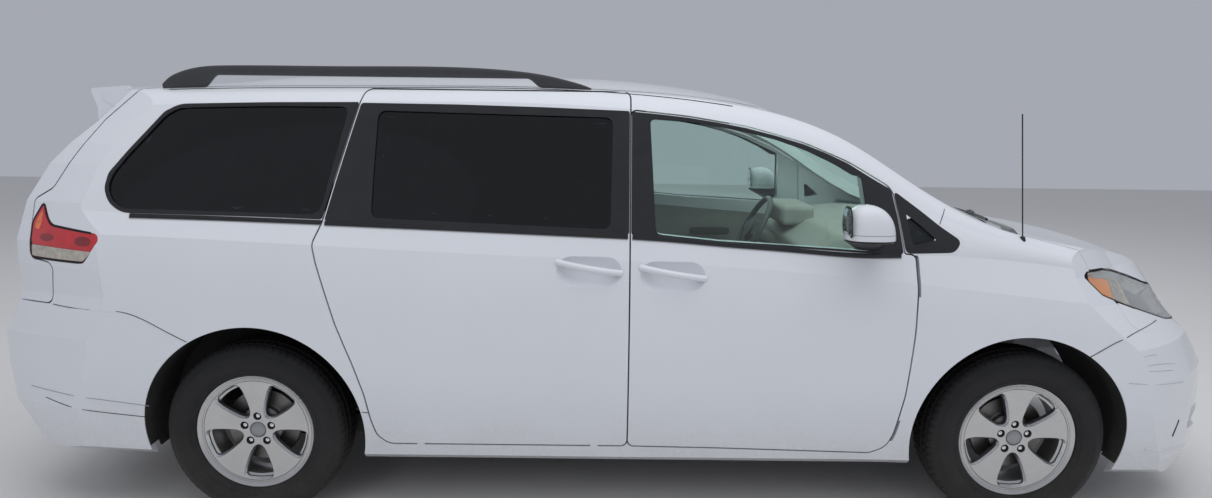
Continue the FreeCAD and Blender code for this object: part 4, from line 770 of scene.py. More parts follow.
def addBeltTrim(values):
    for side, sideName in sideNames.items():
        for part, corners in values["lines"].items():
            body = doorBodies[side] if part == "front" else "car_body"
            place, normal = onBody(smoothLine(corners), "side", side)
            for kind, look in (("bar", "blackTrim"), ("line", "satinTrim")):
                sweep("belt_%s_%s_%s" % (kind, part, sideName), place, normal, values[kind], body, look,
                      (0, 0, 1))
    print("belt mouldings done")


addWindowTrim(windowTrim)
addBeltTrim(beltTrim)


# Wheels. Local places are (u, v, w): forwards, up and outboard from the hub's centre.
wheelBodies = {("front", -1): "wheel_front_right", ("front", 1): "wheel_front_left",
               ("rear", -1): "wheel_rear_right", ("rear", 1): "wheel_rear_left"}


def atWheel(local, axle, side):
    x = frontAxle if axle == "front" else rearAxle
    return np.stack([x + local[:, 0], side * (wheelTrack + local[:, 2]), axleHeight + local[:, 1]], 1)


def turnedRows(profile, count):
    # a profile of (radius, outboard) swept round the axle: (r cos a, r sin a, w), and its quads
    shape = np.asarray(profile, float)
    angle = np.arange(count) * 2 * np.pi / count
    rows = np.stack([shape[None, :, 0] * np.cos(angle)[:, None], shape[None, :, 0] * np.sin(angle)[:, None],
                     np.broadcast_to(shape[None, :, 1], (count, len(shape)))], -1)
    return rows.reshape(-1, 3), gridFaces(count, len(shape), True, True)


def outwards(points, faces):
    # turns every face over when the closed mesh encloses a negative volume
    corners = points[faces]
    volume = (corners[:, 0] * np.cross(corners[:, 1], corners[:, 2])).sum()
    if faces.shape[1] == 4:
        volume += (corners[:, 0] * np.cross(corners[:, 2], corners[:, 3])).sum()
    return faces if volume > 0 else faces[:, ::-1]


tyre = {"steps": 432, "sipes": 72, "sipeDepth": 4.5, "slant": 0.055,
        "wall": [(233.6, 94), (236, 101), (243, 107), (250, 111), (252, 114.5), (256, 115), (258, 113.6),
                 (268, 116.5),
                 (282, 119.4), (296, 120.6), (298, 119.8), (300, 120.4), (310, 117.5), (320, 112.0),
                 (322, 109.5),
                 (328, 106), (338, 99), (346, 90)],
        "tread": [(350, 83), (352.4, 76), (353.4, 68), (346, 66.5), (346, 59), (354.4, 57.5), (355.4, 42),
                  (356, 28),
                  (348, 26.5), (348, 18.5), (356.6, 17), (357, 8), (357, 0)]}


def addTyre(axle, side, values):
    half = values["wall"] + values["tread"]
    shape = np.array(half + [(r, -w) for r, w in half[::-1][1:]] + [(233.6, -60), (233.6, 60)], float)
    points, faces = turnedRows(shape, values["steps"])
    radius, w = np.hypot(points[:, 0], points[:, 1]), points[:, 2]
    turn = np.repeat(np.arange(values["steps"]), len(shape))
    period = values["steps"] // values["sipes"]
    # sipes cut the shoulders and the middle ribs: one step in each period is lowered, slanted across the
    # tread
    phase = np.round(turn + np.abs(w) * values["slant"] * np.sign(w)).astype(int) % period
    zone = (radius > 341) & (((np.abs(w) > 60) & (np.abs(w) < 100)) | (np.abs(w) < 16)) & (phase == 0)
    zone |= (radius > 354) & (np.abs(w) > 27) & (np.abs(w) < 58) & (phase == 3)
    scale = np.where(zone, (radius - values["sipeDepth"]) / radius, 1.0)
    points[:, :2] *= scale[:, None]
    placed = atWheel(points, axle, side)
    addMesh("tyre_%s_%s" % (axle, sideNames[side]), placed, outwards(placed, faces),
            wheelBodies[axle, side],
            "tyreRubber", ["tyre_%s_%s" % (axle, sideNames[side])], flatEdges=38)


# The rim: a five-spoke star with a window between each two spokes, and a turned barrel with a double lip.
rim = {"outer": 207.0, "window": [(64, -6), (64, 6), (73, 18), (87, 27), (120, 41), (158, 54), (186, 58),
                                  (198, 46), (202, 0),
                                   (198, -46), (186, -58), (158, -54), (120, -41), (87, -27), (73, -18)],
       "windowCorner": 11.0, "nutRing": 56.0, "nutHole": 17.0, "bore": 33.0, "chamfer": 7.0, "drop": 10.0,
       "thick": 30.0,
       "barrel": [(206, 80), (209, 86.5), (213, 88), (217, 86.8), (221, 88.5), (226, 94.5), (230, 96),
                  (233, 94),
                  (233, 87), (224, 80), (219, 66), (203, 46), (203, -50), (219, -74), (224, -88),
                  (233, -92), (233, -96),
                  (226, -96), (214, -78), (195, -50), (188, 40), (189, 61), (202, 66)],
       "cap": [(0.01, 77.5), (12, 77.0), (22, 75.4), (29, 72.4), (30.5, 69.5), (30.5, 52), (33.5, 52),
               (33.5, 40), (0.01, 40)],
       "disc": [(50, -16), (146, -16), (148, -14), (148, -8), (142, -7), (142, -3), (148, -2), (148, 4),
                (146, 6), (92, 6),
                (86, 12), (84, 32), (72, 38), (23, 38), (23, -16)]}


def faceHeight(flat):
    # the star's face: 70 mm out at the hub, 84 at the rim, each spoke crowned 2.5 mm along its middle
    radius = np.hypot(flat[:, 0], flat[:, 1])
    angle = np.arctan2(flat[:, 1], flat[:, 0]) - np.pi / 2
    return 69.5 + 14 * (radius / 205) ** 1.6 + 2.5 * np.cos(2.5 * angle) ** 2 * np.clip(radius / 90 - 0.6,
                                                                                        0, 1)


def ringOf(radius, count, centre=(0.0, 0.0)):
    angle = np.arange(count) * 2 * np.pi / count
    return np.stack([centre[0] + radius * np.cos(angle), centre[1] + radius * np.sin(angle)], 1)


def addRim(axle, side, values):
    window = grown(softCorners(values["window"], values["windowCorner"], 5.0), 3.0)
    loops = [ringOf(values["outer"], 120)]
    for k in range(5):
        turn = math.radians(90 + 36 + 72 * k)
        spin = np.array([[math.cos(turn), math.sin(turn)], [-math.sin(turn), math.cos(turn)]])
        loops.append(window @ spin)
        spoke = math.radians(90 + 72 * k)
        loops.append(ringOf(values["nutHole"], 24, (values["nutRing"] * math.cos(spoke),
                                                    values["nutRing"] * math.sin(spoke))))
    loops.append(ringOf(values["bore"], 40))
    flat, triangles = cutSheet(loops, 9.0)
    lower = [loops[0]] + [grown(loop, -values["chamfer"] if len(loop) > 40 else -1.0) for loop in loops[1:]]
    backFlat, backTriangles = cutSheet(lower, 14.0)
    top = np.column_stack([flat, faceHeight(flat)])
    back = np.column_stack([backFlat, faceHeight(backFlat) - values["thick"]])
    points = [top, back]
    faces = [facing(top, triangles, np.array([0, 0, 1.0])),
             facing(back, backTriangles, np.array([0, 0, -1.0])) + len(top)]
    kinds = [np.zeros(len(triangles)), np.full(len(backTriangles), 2)]
    count = len(top) + len(back)
    for index, (loop, low) in enumerate(zip(loops, lower)):
        drop = values["drop"] if len(loop) > 40 and index else 1.0
        rows = [np.column_stack([loop, faceHeight(loop)]), np.column_stack([low, faceHeight(loop) - drop]),
                np.column_stack([low, faceHeight(loop) - drop]),
                np.column_stack([low, faceHeight(low) - values["thick"]])]
        away = np.column_stack([loop - loop.mean(0), np.zeros(len(loop))]) * (1 if index == 0 else -1)
        # the chamfer rows take the painted highlight alloy (1), the deep walls the painted shade alloy (2)
        for first, kind in ((0, 1), (2, 2)):
            pair = np.vstack(rows[first:first + 2])
            quads = ringFaces(len(loop))
            faces.append(facing(pair, quads, away[quads[:, 0]] + np.array([0, 0,
                                                                           0.5 if first == 0
                                                                           else 0.0])) + count)
            kinds.append(np.full(len(quads), kind))
            points.append(pair)
            count += len(pair)
    placed = atWheel(np.vstack(points), axle, side)
    if side < 0:
        faces = [group[:, ::-1] for group in faces]
    name, body = "%s_%s" % (axle, sideNames[side]), wheelBodies[axle, side]
    star = addMesh("rimStar_" + name, placed, faces, body, ["silverAlloy", "highlightAlloy", "shadedAlloy"],
                   ["rim_" + name], flatEdges=32)
    star.data.polygons.foreach_set("material_index", np.concatenate(kinds).astype(np.int32))
    for part, profile, look, count, flatEdges in (("rimBarrel_", "barrel", "silverAlloy", 160, 30),
                                                  ("brakeDisc_", "disc", "discSteel", 120, 30),
                                                  ("hubCap_", "cap", "capGrey", 64, 40)):
        turned, quads = turnedRows(values[profile], count)
        placed = atWheel(turned, axle, side)
        addMesh(part + name, placed, outwards(placed, quads), body, look, flatEdges=flatEdges)
    addNuts(axle, side, values["nutRing"])


def addNuts(axle, side, ring):
    # five six-sided nuts with a turned washer and a domed end, each on the middle line of its spoke
    rows, faces, count = [], [], 0
    angle = np.arange(36) * 2 * np.pi / 36
    hexagon = 9.6 / np.maximum(np.cos((angle + np.pi / 6) % (np.pi / 3) - np.pi / 6), 0.5)
    for k in range(5):
        spoke = math.radians(90 + 72 * k)
        cx, cy = ring * math.cos(spoke), ring * math.sin(spoke)
        rings = [(np.full(36, 11.5), 44.0), (np.full(36, 11.5), 48.0), (hexagon, 49.0), (hexagon, 62.0),
                 (hexagon * 0.8, 65.0), (hexagon * 0.35, 67.0), (hexagon * 0.01, 67.3)]
        rows.append(np.vstack([np.column_stack([cx + r * np.cos(angle), cy + r * np.sin(angle),
                                                np.full(36, w)])
                               for r, w in rings]))
        faces.append(gridFaces(len(rings), 36, closeColumns=True) + count)
        count += 36 * len(rings)
    placed = atWheel(np.vstack(rows), axle, side)
    quads = np.vstack(faces)
    middle = np.repeat(placed.reshape(5, -1, 3).mean(1), 36 * (len(rings) - 1), 0)
    addMesh("wheelNuts_%s_%s" % (axle, sideNames[side]), placed,
            facing(placed, quads, placed[quads].mean(1) - middle),
            wheelBodies[axle, side], "chrome", flatEdges=28)


for wheelAxle, wheelSide in wheelBodies:
    addTyre(wheelAxle, wheelSide, tyre)
    addRim(wheelAxle, wheelSide, rim)
print("wheels done")


def skinLine(name, corners, view, side, profile, body, look):
    place, normal = onBody(smoothLine(corners), view, side)
    return sweep(name, place, normal, profile, body, look, viewAxes[view][1])


# Panel joints closer than a gap, drawn as fine dark lines 1.2 mm proud.
seams = {
    "profile": [(-1.2, -0.8), (-1.2, 1.2), (1.2, 1.2), (1.2, -0.8)],
    "lines": {"rearBumper": [(-2262, 861), (-2100, 852), (-1938, 842), (-1890, 824), (-1800, 776),
                             (-1718, 733)],
              "frontBumper": [(1776, 708), (1836, 744), (1893, 775), (2014, 801), (2159, 811)],
              "sillEnd": [(-1057, 452), (-1042, 450), (-1030, 449)],
              "pillarFoot": [(1192, 1212), (1207, 1240), (1222, 1268)],
              "rearValance": [(-1912, 418), (-2050, 432), (-2200, 452), (-2330, 480)]},
}


def addSeams(values):
    for side, sideName in sideNames.items():
        for part, corners in values["lines"].items():
            skinLine("seam_%s_%s" % (part, sideName), corners, "side", side, values["profile"], "car_body",
                     "seamBlack")
    print("seams done")


# Tail lamps: the lens over the CAD lamp in bands, with a dark gasket round it and an orange painted highlight in the
# red.
tailLamp = {
    "outline": [(-2365, 1039), (-2115, 1031), (-2032, 1140), (-2179, 1157), (-2268, 1167), (-2292, 1195),
                (-2316, 1254),
                (-2365, 1178)],
    "red": [(-2361, 1094), (-2230, 1088), (-2066, 1080), (-2041, 1138), (-2179, 1152), (-2272, 1163),
            (-2298, 1193),
            (-2318, 1240), (-2361, 1174)],
    "glow": [(-2350, 1150), (-2326, 1146), (-2316, 1180), (-2317, 1222), (-2333, 1200), (-2348, 1172)],
    "clear": [(-2361, 1089), (-2230, 1083), (-2073, 1075), (-2113, 1037), (-2235, 1040), (-2361, 1045)],
    "spots": [((-2283, 1120), 34, 15), ((-2112, 1113), 36, 18)],
}


def addTailLamps(values):
    for side, sideName in sideNames.items():
        outer = softCorners(values["outline"], 22.0, 9.0)
        skinPatch("tailGasket_" + sideName, [grown(outer, 4.5), grown(outer, -4.5)], "side", side,
                  "car_body",
                  "seamBlack", 0.9, [2.0, 1.6], 40.0)
        skinPatch("tailRed_" + sideName, [softCorners(values["red"], 12.0, 9.0)], "side", side, "car_body",
                  "redLens", 1.5, 2.4, 16.0)
        # painted highlight: an orange patch on the red lens of an unlit lamp
        skinPatch("tailHighlight_" + sideName, [softCorners(values["glow"], 9.0, 7.0)], "side", side, "car_body",
                  "glowLens", 1.9, 0.6, 12.0)
        skinPatch("tailClear_" + sideName, [softCorners(values["clear"], 6.0, 9.0)], "side", side,
                  "car_body",
                  "clearRibs", 1.2, 2.0, 16.0)
        for index, (centre, halfX, halfZ) in enumerate(values["spots"]):
            ring = ringOf(1.0, 40) * (halfX, halfZ) + centre
            skinPatch("tailSpot%d_%s" % (index, sideName), [ring], "side", side, "car_body", "deepRed", 1.8,
                      0.5, 14.0)
    print("tail lamps done")


# Headlamps: a clear skin over a stepped bowl; u runs round the corner as an angle, v from the lower to the
# upper edge.
headlamp = {
    "top": [(1778, 1015), (1795, 1025), (1916, 1019), (1992, 1003), (2120, 964), (2260, 914), (2400, 882),
            (2700, 872)],
    "bottom": [(1778, 1007), (1856, 939), (1962, 897), (2050, 866), (2242, 801), (2400, 769), (2700, 752)],
    "centre": (1900.0, 430.0), "startAngle": 103.0, "endAngle": 1.0, "columns": 150, "rows": 22,
}


def lampPlaces(values, side):
    angle = np.radians(np.linspace(values["startAngle"], values["endAngle"], values["columns"]))
    v = np.linspace(0.0, 1.0, values["rows"])
    a, level = [grid.ravel() for grid in np.meshgrid(angle, v, indexing="ij")]
    direction = np.stack([np.cos(a), side * np.sin(a), np.zeros(len(a))], 1)
    top, bottom = np.array(values["top"], float).T, np.array(values["bottom"], float).T
    place = np.stack([np.full(len(a), 2000.0), np.zeros(len(a)), np.zeros(len(a))], 1)
    for _ in range(4):
        # the height depends on how far forward the ray comes out, so it settles in a few rounds
        low, high = np.interp(place[:, 0], *bottom), np.interp(place[:, 0], *top)
        start = np.stack([np.full(len(a), values["centre"][0]), np.full(len(a), side * values["centre"][1]),
                          low + (high - low) * level], 1)
        place = castOut(start, direction, 1200.0)
    return place, bodyNormal(place), a, level


def addHeadlamps(values):
    for side, sideName in sideNames.items():
        place, normal, angle, level = lampPlaces(values, side)
        columns, rows = values["columns"], values["rows"]
        quads = gridFaces(columns, rows)
        x = place[:, 0]
        edge = np.minimum(level, 1 - level) * 2
        u = np.repeat(np.arange(columns), rows) / (columns - 1)
        ends = np.clip(np.minimum(u, 1 - u) * 14, 0, 1)
        bowl = np.clip(edge * 3.0, 0, 1) * ends
        amber = (x > 1792) & (x < 1936 + 24 * level) & (level < 0.74) & (np.abs(place[:, 1]) > 700)
        box = (x > 1944) & (x < 2050) & (level < 0.78) & (level > 0.1) & (np.abs(place[:, 1]) > 700)
        lamp = (x >= 2060) & (level > 0.15) & (level < 0.85)
        ribs = np.cos(u * 520) * 1.2
        down = 3.5 + bowl * np.select([amber, box, lamp],
                                      [9.0 + 0.8 * np.cos(level * 60), 20.0 + ribs, 46.0 + ribs], 13.0)
        housing = place - normal * down[:, None]
        rim = place - normal * 3.0
        kinds = np.select([amber, box, lamp], [1, 2, 3], 0)[quads].max(1)
        piece = addMesh("headlampBowl_" + sideName, housing, facing(housing, quads, normal[quads[:, 0]]),
                        "car_body",
                        ["reflector", "amberLens", "clearRibs", "bowlChrome"],
                        ["headlamps"] if side < 0 else [])
        piece.data.polygons.foreach_set("material_index", kinds.astype(np.int32))
        both = np.vstack([place + normal * 0.4, rim])
        border = np.concatenate([np.arange(columns) * rows, (columns - 1) * rows + np.arange(1, rows),
                                 (np.arange(columns)[::-1][1:]) * rows + rows - 1,
                                 np.arange(rows)[::-1][1:-1]])
        wall = np.stack([border, np.roll(border, -1), np.roll(border, -1) + len(place),
                         border + len(place)], 1)
        faces = np.vstack([facing(both, quads, normal[quads[:, 0]]),
                           facing(both, quads + len(place), -normal[quads[:, 0]]),
                           facing(both, wall, place[wall[:, 0]] - place.mean(0))])
        addMesh("headlampLens_" + sideName, both, faces, "car_body", "lampLens", flatEdges=40)
        back = np.vstack([rim[border], place[border] - normal[border] * 24])
        wall = ringFaces(len(border))
        addMesh("headlampSide_" + sideName, back, facing(back, wall, place.mean(0) - back[wall[:, 0]]),
                "car_body",
                "lampBlack")
        sweep("headlampGasket_" + sideName, place[border], normal[border],
              [(-2.6, -2), (-2.6, 1.0), (2.4, 1.0), (2.4, -2)],
              "car_body", "seamBlack", (0, 0, 1), True)
    print("headlamps done")


# Roof rails: one long bar on a foot at each end. Heights are its top; the bar is about 42 mm deep between
# the feet.
roofRail = {
    "top": [(-1917, 1722), (-1900, 1738), (-1856, 1764), (-1788, 1785), (-1648, 1797), (-1200, 1799),
            (-617, 1797),
            (-480, 1788), (-357, 1772), (-250, 1748), (-190, 1730), (-170, 1722)],
    "gap": (-1748, -372), "gapHeight": 1757.0, "y": 638.0, "halfWidth": 17.0, "stations": 240, "around": 28,
}


def addRoofRails(values):
    tops = np.array(values["top"], float)
    x = np.linspace(tops[0, 0], tops[-1, 0], values["stations"])
    top = cubicThrough(tops[:, 0], tops[:, 1])(x)
    section = sectionShape(x)
    roof = topHeight(section, np.full(len(x), values["y"]))
    inGap = np.clip((x - values["gap"][0]) / 60, 0, 1) * np.clip((values["gap"][1] - x) / 60, 0, 1)
    bottom = np.minimum(roof + (values["gapHeight"] - roof) * eased(inGap), top - 2.0)
    angle = np.arange(values["around"]) * 2 * np.pi / values["around"]
    c, s = np.cos(angle), np.sin(angle)
    # superellipse of power 2.6 round each station's middle, narrowing over the last 60 mm of both ends
    across, up = signedPower(c, 2 / 2.6), signedPower(s, 2 / 2.6)
    width = values["halfWidth"] * np.clip(np.minimum(x - x[0], x[-1] - x) / 60 + 0.45, 0.45, 1.0)
    for side, sideName in sideNames.items():
        y = values["y"] + width[:, None] * across[None]
        z = ((top + bottom) / 2)[:, None] + ((top - bottom) / 2)[:, None] * up[None]
        grid = np.repeat(x[:, None], values["around"], 1)
        surface = topHeight({key: value[:, None] if not isinstance(value,
                                                                   tuple)
                             else tuple(v[:, None] for v in value)
                             for key, value in section.items()}, y)
        z = np.maximum(z, surface + 0.4)
        points = np.stack([grid, side * y, z], -1).reshape(-1, 3)
        n, k = values["stations"], values["around"]
        quads = gridFaces(n, k, closeColumns=True)
        caps = np.array([np.arange(k)[::-1], np.arange(k) + (n - 1) * k])
        addMesh("roofRail_" + sideName, points, [outwards(points, quads),
                                                 caps if side > 0 else caps[:, ::-1]], "car_body",
                "railBlack", ["roof_rails"] if side < 0 else [], flatEdges=50)
    print("roof rails done")


# Door mirrors: an egg-shaped shell cut flat below, its glass, a seam band and a black foot.
mirror = {"x": 869.0, "y": 1061.0, "low": 1176.0, "high": 1305.0, "halfX": 92.0, "halfY": 75.0,
          "foot": [((906, 925, 1131), 60, 20), ((900, 965, 1138), 58, 18), ((880, 1000, 1156), 72, 17),
                   ((869, 1030, 1166), 84, 12), ((868, 1062, 1169), 87, 10), ((869, 1095, 1170), 82, 9),
                   ((870, 1118, 1172), 62, 6)]}


def mirrorShell(values, columns, rows, low):
    # for each level t the outline is a superellipse that shrinks and leans back towards the top
    angle = np.arange(columns) * 2 * np.pi / columns
    t = np.linspace(low, 1.0, rows) ** 0.8
    shrink = (1 - t ** 3.4) ** (1 / 2.3)
    c, s = np.cos(angle), np.sin(angle)
    across, out = signedPower(c, 0.72), signedPower(s, 0.8)
    x = values["x"] - 12 * t[:, None] ** 2 + values["halfX"] * (shrink * (1 - 0.08 * t))[:, None] * across
    x = x - 10 * (t[:, None] ** 2) * (across > 0)
    y = values["y"] + values["halfY"] * (shrink ** 0.9)[:, None] * out
    z = values["low"] + (values["high"] - values["low"]) * np.repeat(t[:, None], columns, 1)
    return np.stack([x, y, z], -1)


def addMirrors(values):
    for side, sideName in sideNames.items():
        flip = np.array([1, side, 1.0])
        shell = mirrorShell(values, 72, 40, 0.0)
        columns = shell.shape[1]
        points = np.vstack([shell.reshape(-1, 3), shell[0].mean(0)]) * flip
        quads = gridFaces(len(shell), columns, closeColumns=True)
        i = np.arange(columns)
        floor = np.stack([i, (i + 1) % columns, np.full(columns, len(points) - 1)], 1)
        middle = points.mean(0)
        faces = [facing(points, quads, points[quads].mean(1) - middle),
                 facing(points, floor, np.array([0, 0, -1.0]))]
        addMesh("mirrorShell_" + sideName, points, faces, doorBodies[side], "whitePaint",
                ["mirror_" + sideName], flatEdges=50)
        band = mirrorShell(values, 72, 40, 0.0)[4]
        outward = band - band.mean(0)
        outward[:, 2] = 0
        outward /= np.linalg.norm(outward, axis=1, keepdims=True)
        sweep("mirrorSeam_" + sideName, band * flip, outward * flip,
              [(-1.1, -1), (-1.1, 0.4), (1.1, 0.4), (1.1, -1)],
              doorBodies[side], "seamGrey", (0, 0, 1), True)
        angle = np.arange(40) * 2 * np.pi / 40
        c, s = np.cos(angle), np.sin(angle)
        across, up = signedPower(c, 0.75), signedPower(s, 0.75)
        rings = np.vstack([np.column_stack([mid[0] + half * across, np.full(40, mid[1]),
                                            mid[2] + tall * up])
                           for mid, half, tall in values["foot"]]) * flip
        count = len(values["foot"])
        quads = gridFaces(count, 40, closeColumns=True)
        caps = np.array([np.arange(40)[::-1], np.arange(40) + 40 * (count - 1)])
        addMesh("mirrorFoot_" + sideName, rings, [facing(rings, quads,
                                                         rings[quads].mean(1) - rings.reshape(count, 40, 3)
                .mean(1)[quads[:, 0] // 40]), caps if side < 0 else caps[:, ::-1]], doorBodies[side],
                "blackTrim", flatEdges=60)
        plate = softCorners([(1000, 1192), (1122, 1192), (1118, 1262), (1090, 1288), (1030, 1288),
                             (1004, 1262)], 26.0, 6.0)
        for part, loops, lift, look in (("Glass", [plate], 3.0, "mirrorGlass"),
                                        ("Bezel", [grown(plate, 9.0), grown(plate, -0.5)], 2.0,
                                         "blackTrim")):
            flat, triangles = cutSheet(loops, 14.0)
            rear = 778.5 + 0.0016 * ((flat[:, 0] - 1061) ** 2 + 1.6 * (flat[:, 1] - 1238) ** 2) - lift
            sheet = np.column_stack([rear, flat]) * flip
            addMesh("mirror%s_%s" % (part, sideName), sheet,
                    facing(sheet, triangles, np.array([-1.0, 0, 0])),
                    doorBodies[side], look)
    print("mirrors done")


addSeams(seams)
addTailLamps(tailLamp)
addHeadlamps(headlamp)
addRoofRails(roofRail)
addMirrors(mirror)
for nodeName, look in (("grille", "lampBlack"), ("antenna", "blackPlastic"), ("wipers", "blackTrim"),
                       ("dashboard", "cabinGrey"), ("steering_wheel", "wheelLeather"),
                       ("tail_lamps", "redLens"),
                       ("front_seats", "seatCloth"), ("middle_seats", "seatCloth"),
                       ("rear_seat", "seatCloth")):
    nodes[nodeName].data.materials.clear()
    nodes[nodeName].data.materials.append(finish[look])


# Wheel openings: a black band just inside each edge, over the panels' thickness. It stands for the black liner and is
# partly painted shade inside the arch.
archLinerShadeBand = {"front": (frontAxle, -14.0, 188.0), "rear": (rearAxle, -9.0, 190.0),
            "radius": {"front": 428.0, "rear": 436.0},
            "start": 3.0, "width": 92.0}


def addArchBands(values):
    for axle in ("front", "rear"):
        centre, first, last = values[axle]
        if axle == "rear":
            first, last = 180 - last, 180 - first
        angle = np.radians(np.linspace(first, last, 130))
        radius = values["radius"][axle] - 1.0
        flat = np.column_stack([centre + radius * np.cos(angle), axleHeight + radius * np.sin(angle)])
        for side, sideName in sideNames.items():
            place = onBody(flat, "side", side)[0]
            outer, inner = place - [0, side * values["start"],
                                    0], place - [0, side * (values["start"] + values["width"]), 0]
            points = np.vstack([outer, inner])
            quads = gridFaces(2, len(flat))
            hub = np.array([centre, side * wheelTrack, axleHeight])
            # painted shade: the liner finish darkens the panels' white inner wall inside the arch
            addMesh("archBand_%s_%s" % (axle, sideName), points,
                    facing(points, quads, hub - points[quads[:, 0]]), "car_body",
                    "linerPlastic")
    print("arch bands done")


# The roof skin's crown: rise * (1 - (y / half)^2)^1.3, eased in from its ends.
roofCrown = {"rise": 30.0, "halfY": 597.0, "rear": -1870.0, "front": 526.0, "easeRear": 420.0,
             "easeFront": 760.0, "columns": 140, "rows": 70}


def addRoofSkin(values):
    x, y = np.meshgrid(np.linspace(values["rear"], values["front"], values["columns"]),
                       np.linspace(-values["halfY"], values["halfY"], values["rows"]), indexing="ij")
    flat = np.stack([x.ravel(), y.ravel()], 1)
    place, normal = onBody(flat, "top", 1)
    ease = (eased((flat[:, 0] - values["rear"]) / values["easeRear"])
            * eased((values["front"] - flat[:, 0]) / values["easeFront"]))
    across = np.clip(1 - (flat[:, 1] / values["halfY"]) ** 2, 0, 1) ** 1.3
    place[:, 2] += 0.7 + values["rise"] * ease * across
    quads = gridFaces(values["columns"], values["rows"])
    addMesh("roofSkin", place, facing(place, quads, np.array([0, 0, 1.0])), "car_body", "whitePaint")
    for side, sideName in sideNames.items():
        skinLine("roofDitch_" + sideName, [(-1880, side * 664), (-1000, side * 668), (-200, side * 668),
                                           (400, side * 700)],
                 "top", side, [(-3, -1), (-3, 0.8), (3, 0.8), (3, -1)], "car_body", "seamBlack")
    print("roof done")


def addSlab(name, loop, low, high, side, body, look, cell=30.0):
    # a flat-sided slab: one side-view outline carried from y = low to y = high
    flat, triangles = cutSheet([loop], cell)
    sheets = [np.column_stack([flat[:, 0], np.full(len(flat), side * y), flat[:, 1]]) for y in (low, high)]
    rims = np.vstack([np.column_stack([loop[:, 0], np.full(len(loop), side * y),
                                       loop[:, 1]]) for y in (low, high)])
    quads = ringFaces(len(loop))
    ahead = np.roll(loop, -1, 0) - np.roll(loop, 1, 0)
    away = np.column_stack([ahead[:, 1], np.zeros(len(loop)), -ahead[:, 0]]) * np.sign(signedArea(loop))
    faces = [facing(sheets[0], triangles, np.array([0, -side, 0.0])),
             facing(sheets[1], triangles, np.array([0, side, 0.0])) + len(flat),
             facing(rims, quads, away[quads[:, 0] % len(loop)]) + 2 * len(flat)]
    return addMesh(name, np.vstack(sheets + [rims]), faces, body, look, flatEdges=35)


# Small outside pieces: cowl grille, spoiler ends, lamp filler, bumper lip and slot, scratches, plate, rear
# wiper.
details = {
    "cowlRear": [(-560, 49), (-240, 99), (0, 103), (240, 99), (560, 49)],
    "cowlFront": [(560, 86), (250, 138), (0, 142), (-250, 138), (-560, 86)],
    "fin": [(-2065, 1712), (-2214, 1699), (-2211, 1676), (-2192, 1622), (-2194, 1568), (-2132, 1618),
            (-2085, 1660)],
    "filler": [(1936, 902), (1962, 893), (2050, 862), (2128, 838), (2128, 792), (2040, 790), (1985, 812),
               (1950, 850)],
    "lip": [(2059, 325), (2150, 312), (2239, 298), (2330, 280)],
    "slot": [(2240, 417), (2222, 388), (2203, 357)],
    "crease": [(-1893, 466), (-2006, 481), (-2254, 508), (-2400, 519)],
    "scratches": [[(1943, 607), (2030, 602), (2120, 592), (2244, 576)],
                  [(1990, 676), (2080, 672), (2192, 656)],
                  [(2010, 655), (2090, 646), (2170, 636)], [(1960, 700), (2020, 712), (2075, 708)]],
}


def addDetails(values):
    front = [(frontAxle + a, y) for y, a in values["cowlRear"] + values["cowlFront"]]
    skinPatch("cowlGrille", [resampled(np.array(front, float), 14.0)], "top", 1, "car_body", "cowlGrey",
              -22.0, 8.0, 30.0)
    box = [(-1.0, -0.6), (-1.0, 1.1), (1.0, 1.1), (1.0, -0.6)]
    lip = [(-5, -1), (-4, 2.4), (0, 4.2), (4, 2.4), (5, -1)]
    slot = [(-5.5, -1), (-5.5, 0.8), (5.5, 0.8), (5.5, -1)]
    for side, sideName in sideNames.items():
        fin = softCorners(values["fin"], 10.0, 7.0)
        addSlab("spoilerEnd_" + sideName, fin, 600.0, 638.0, side, "liftgate", "whitePaint")
        skinPatch("lampFiller_" + sideName, [softCorners(values["filler"], 10.0, 9.0)], "side", side,
                  "car_body",
                  "whitePaint", 0.5, 6.0, 20.0)
        skinLine("bumperLip_" + sideName, values["lip"], "side", side, lip, "car_body", "whitePaint")
        skinLine("fogSlot_" + sideName, values["slot"], "side", side, slot, "car_body", "seamBlack")
        # painted shade: a grey line along the rear crease
        skinLine("rearCrease_" + sideName, values["crease"], "side", side, box, "car_body", "seamGrey")
    for index, corners in enumerate(values["scratches"]):
        thin = [(-0.7, -0.5), (-0.7, 0.8), (0.7, 0.8), (0.7, -0.5)]
        skinLine("scratch%d" % index, corners, "side", -1, thin, "car_body", "scratchGrey")
    plate = softCorners([(-150, 914), (150, 914), (150, 1041), (-150, 1041)], 8.0, 8.0)
    skinPatch("plateBlank", [plate], "rear", 1, "liftgate", "plateWhite", -11.0, 3.0, 40.0)
    for index, z in enumerate((823, 851)):
        line = [(-455, z - 14), (-300, z - 4), (0, z), (300, z - 4), (455, z - 14)]
        skinLine("grilleBar%d" % index, line, "front", 1,
                 [(-6, -2), (-6, 1.5), (-3, 4), (3, 4), (6, 1.5), (6, -2)],
                 "car_body", "chrome")
    skinLine("rearWiper", [(0, 1262), (-120, 1290), (-320, 1312)], "rear", 1,
             [(-5, 2), (-5, 9), (5, 9), (5, 2)],
                   "liftgate", "blackPlastic")
    hub = ringOf(17.0, 30, (0.0, 1262.0))
    skinPatch("rearWiperHub", [hub], "rear", 1, "liftgate", "blackPlastic", 12.0, 14.0, 12.0)
    print("outside details done")


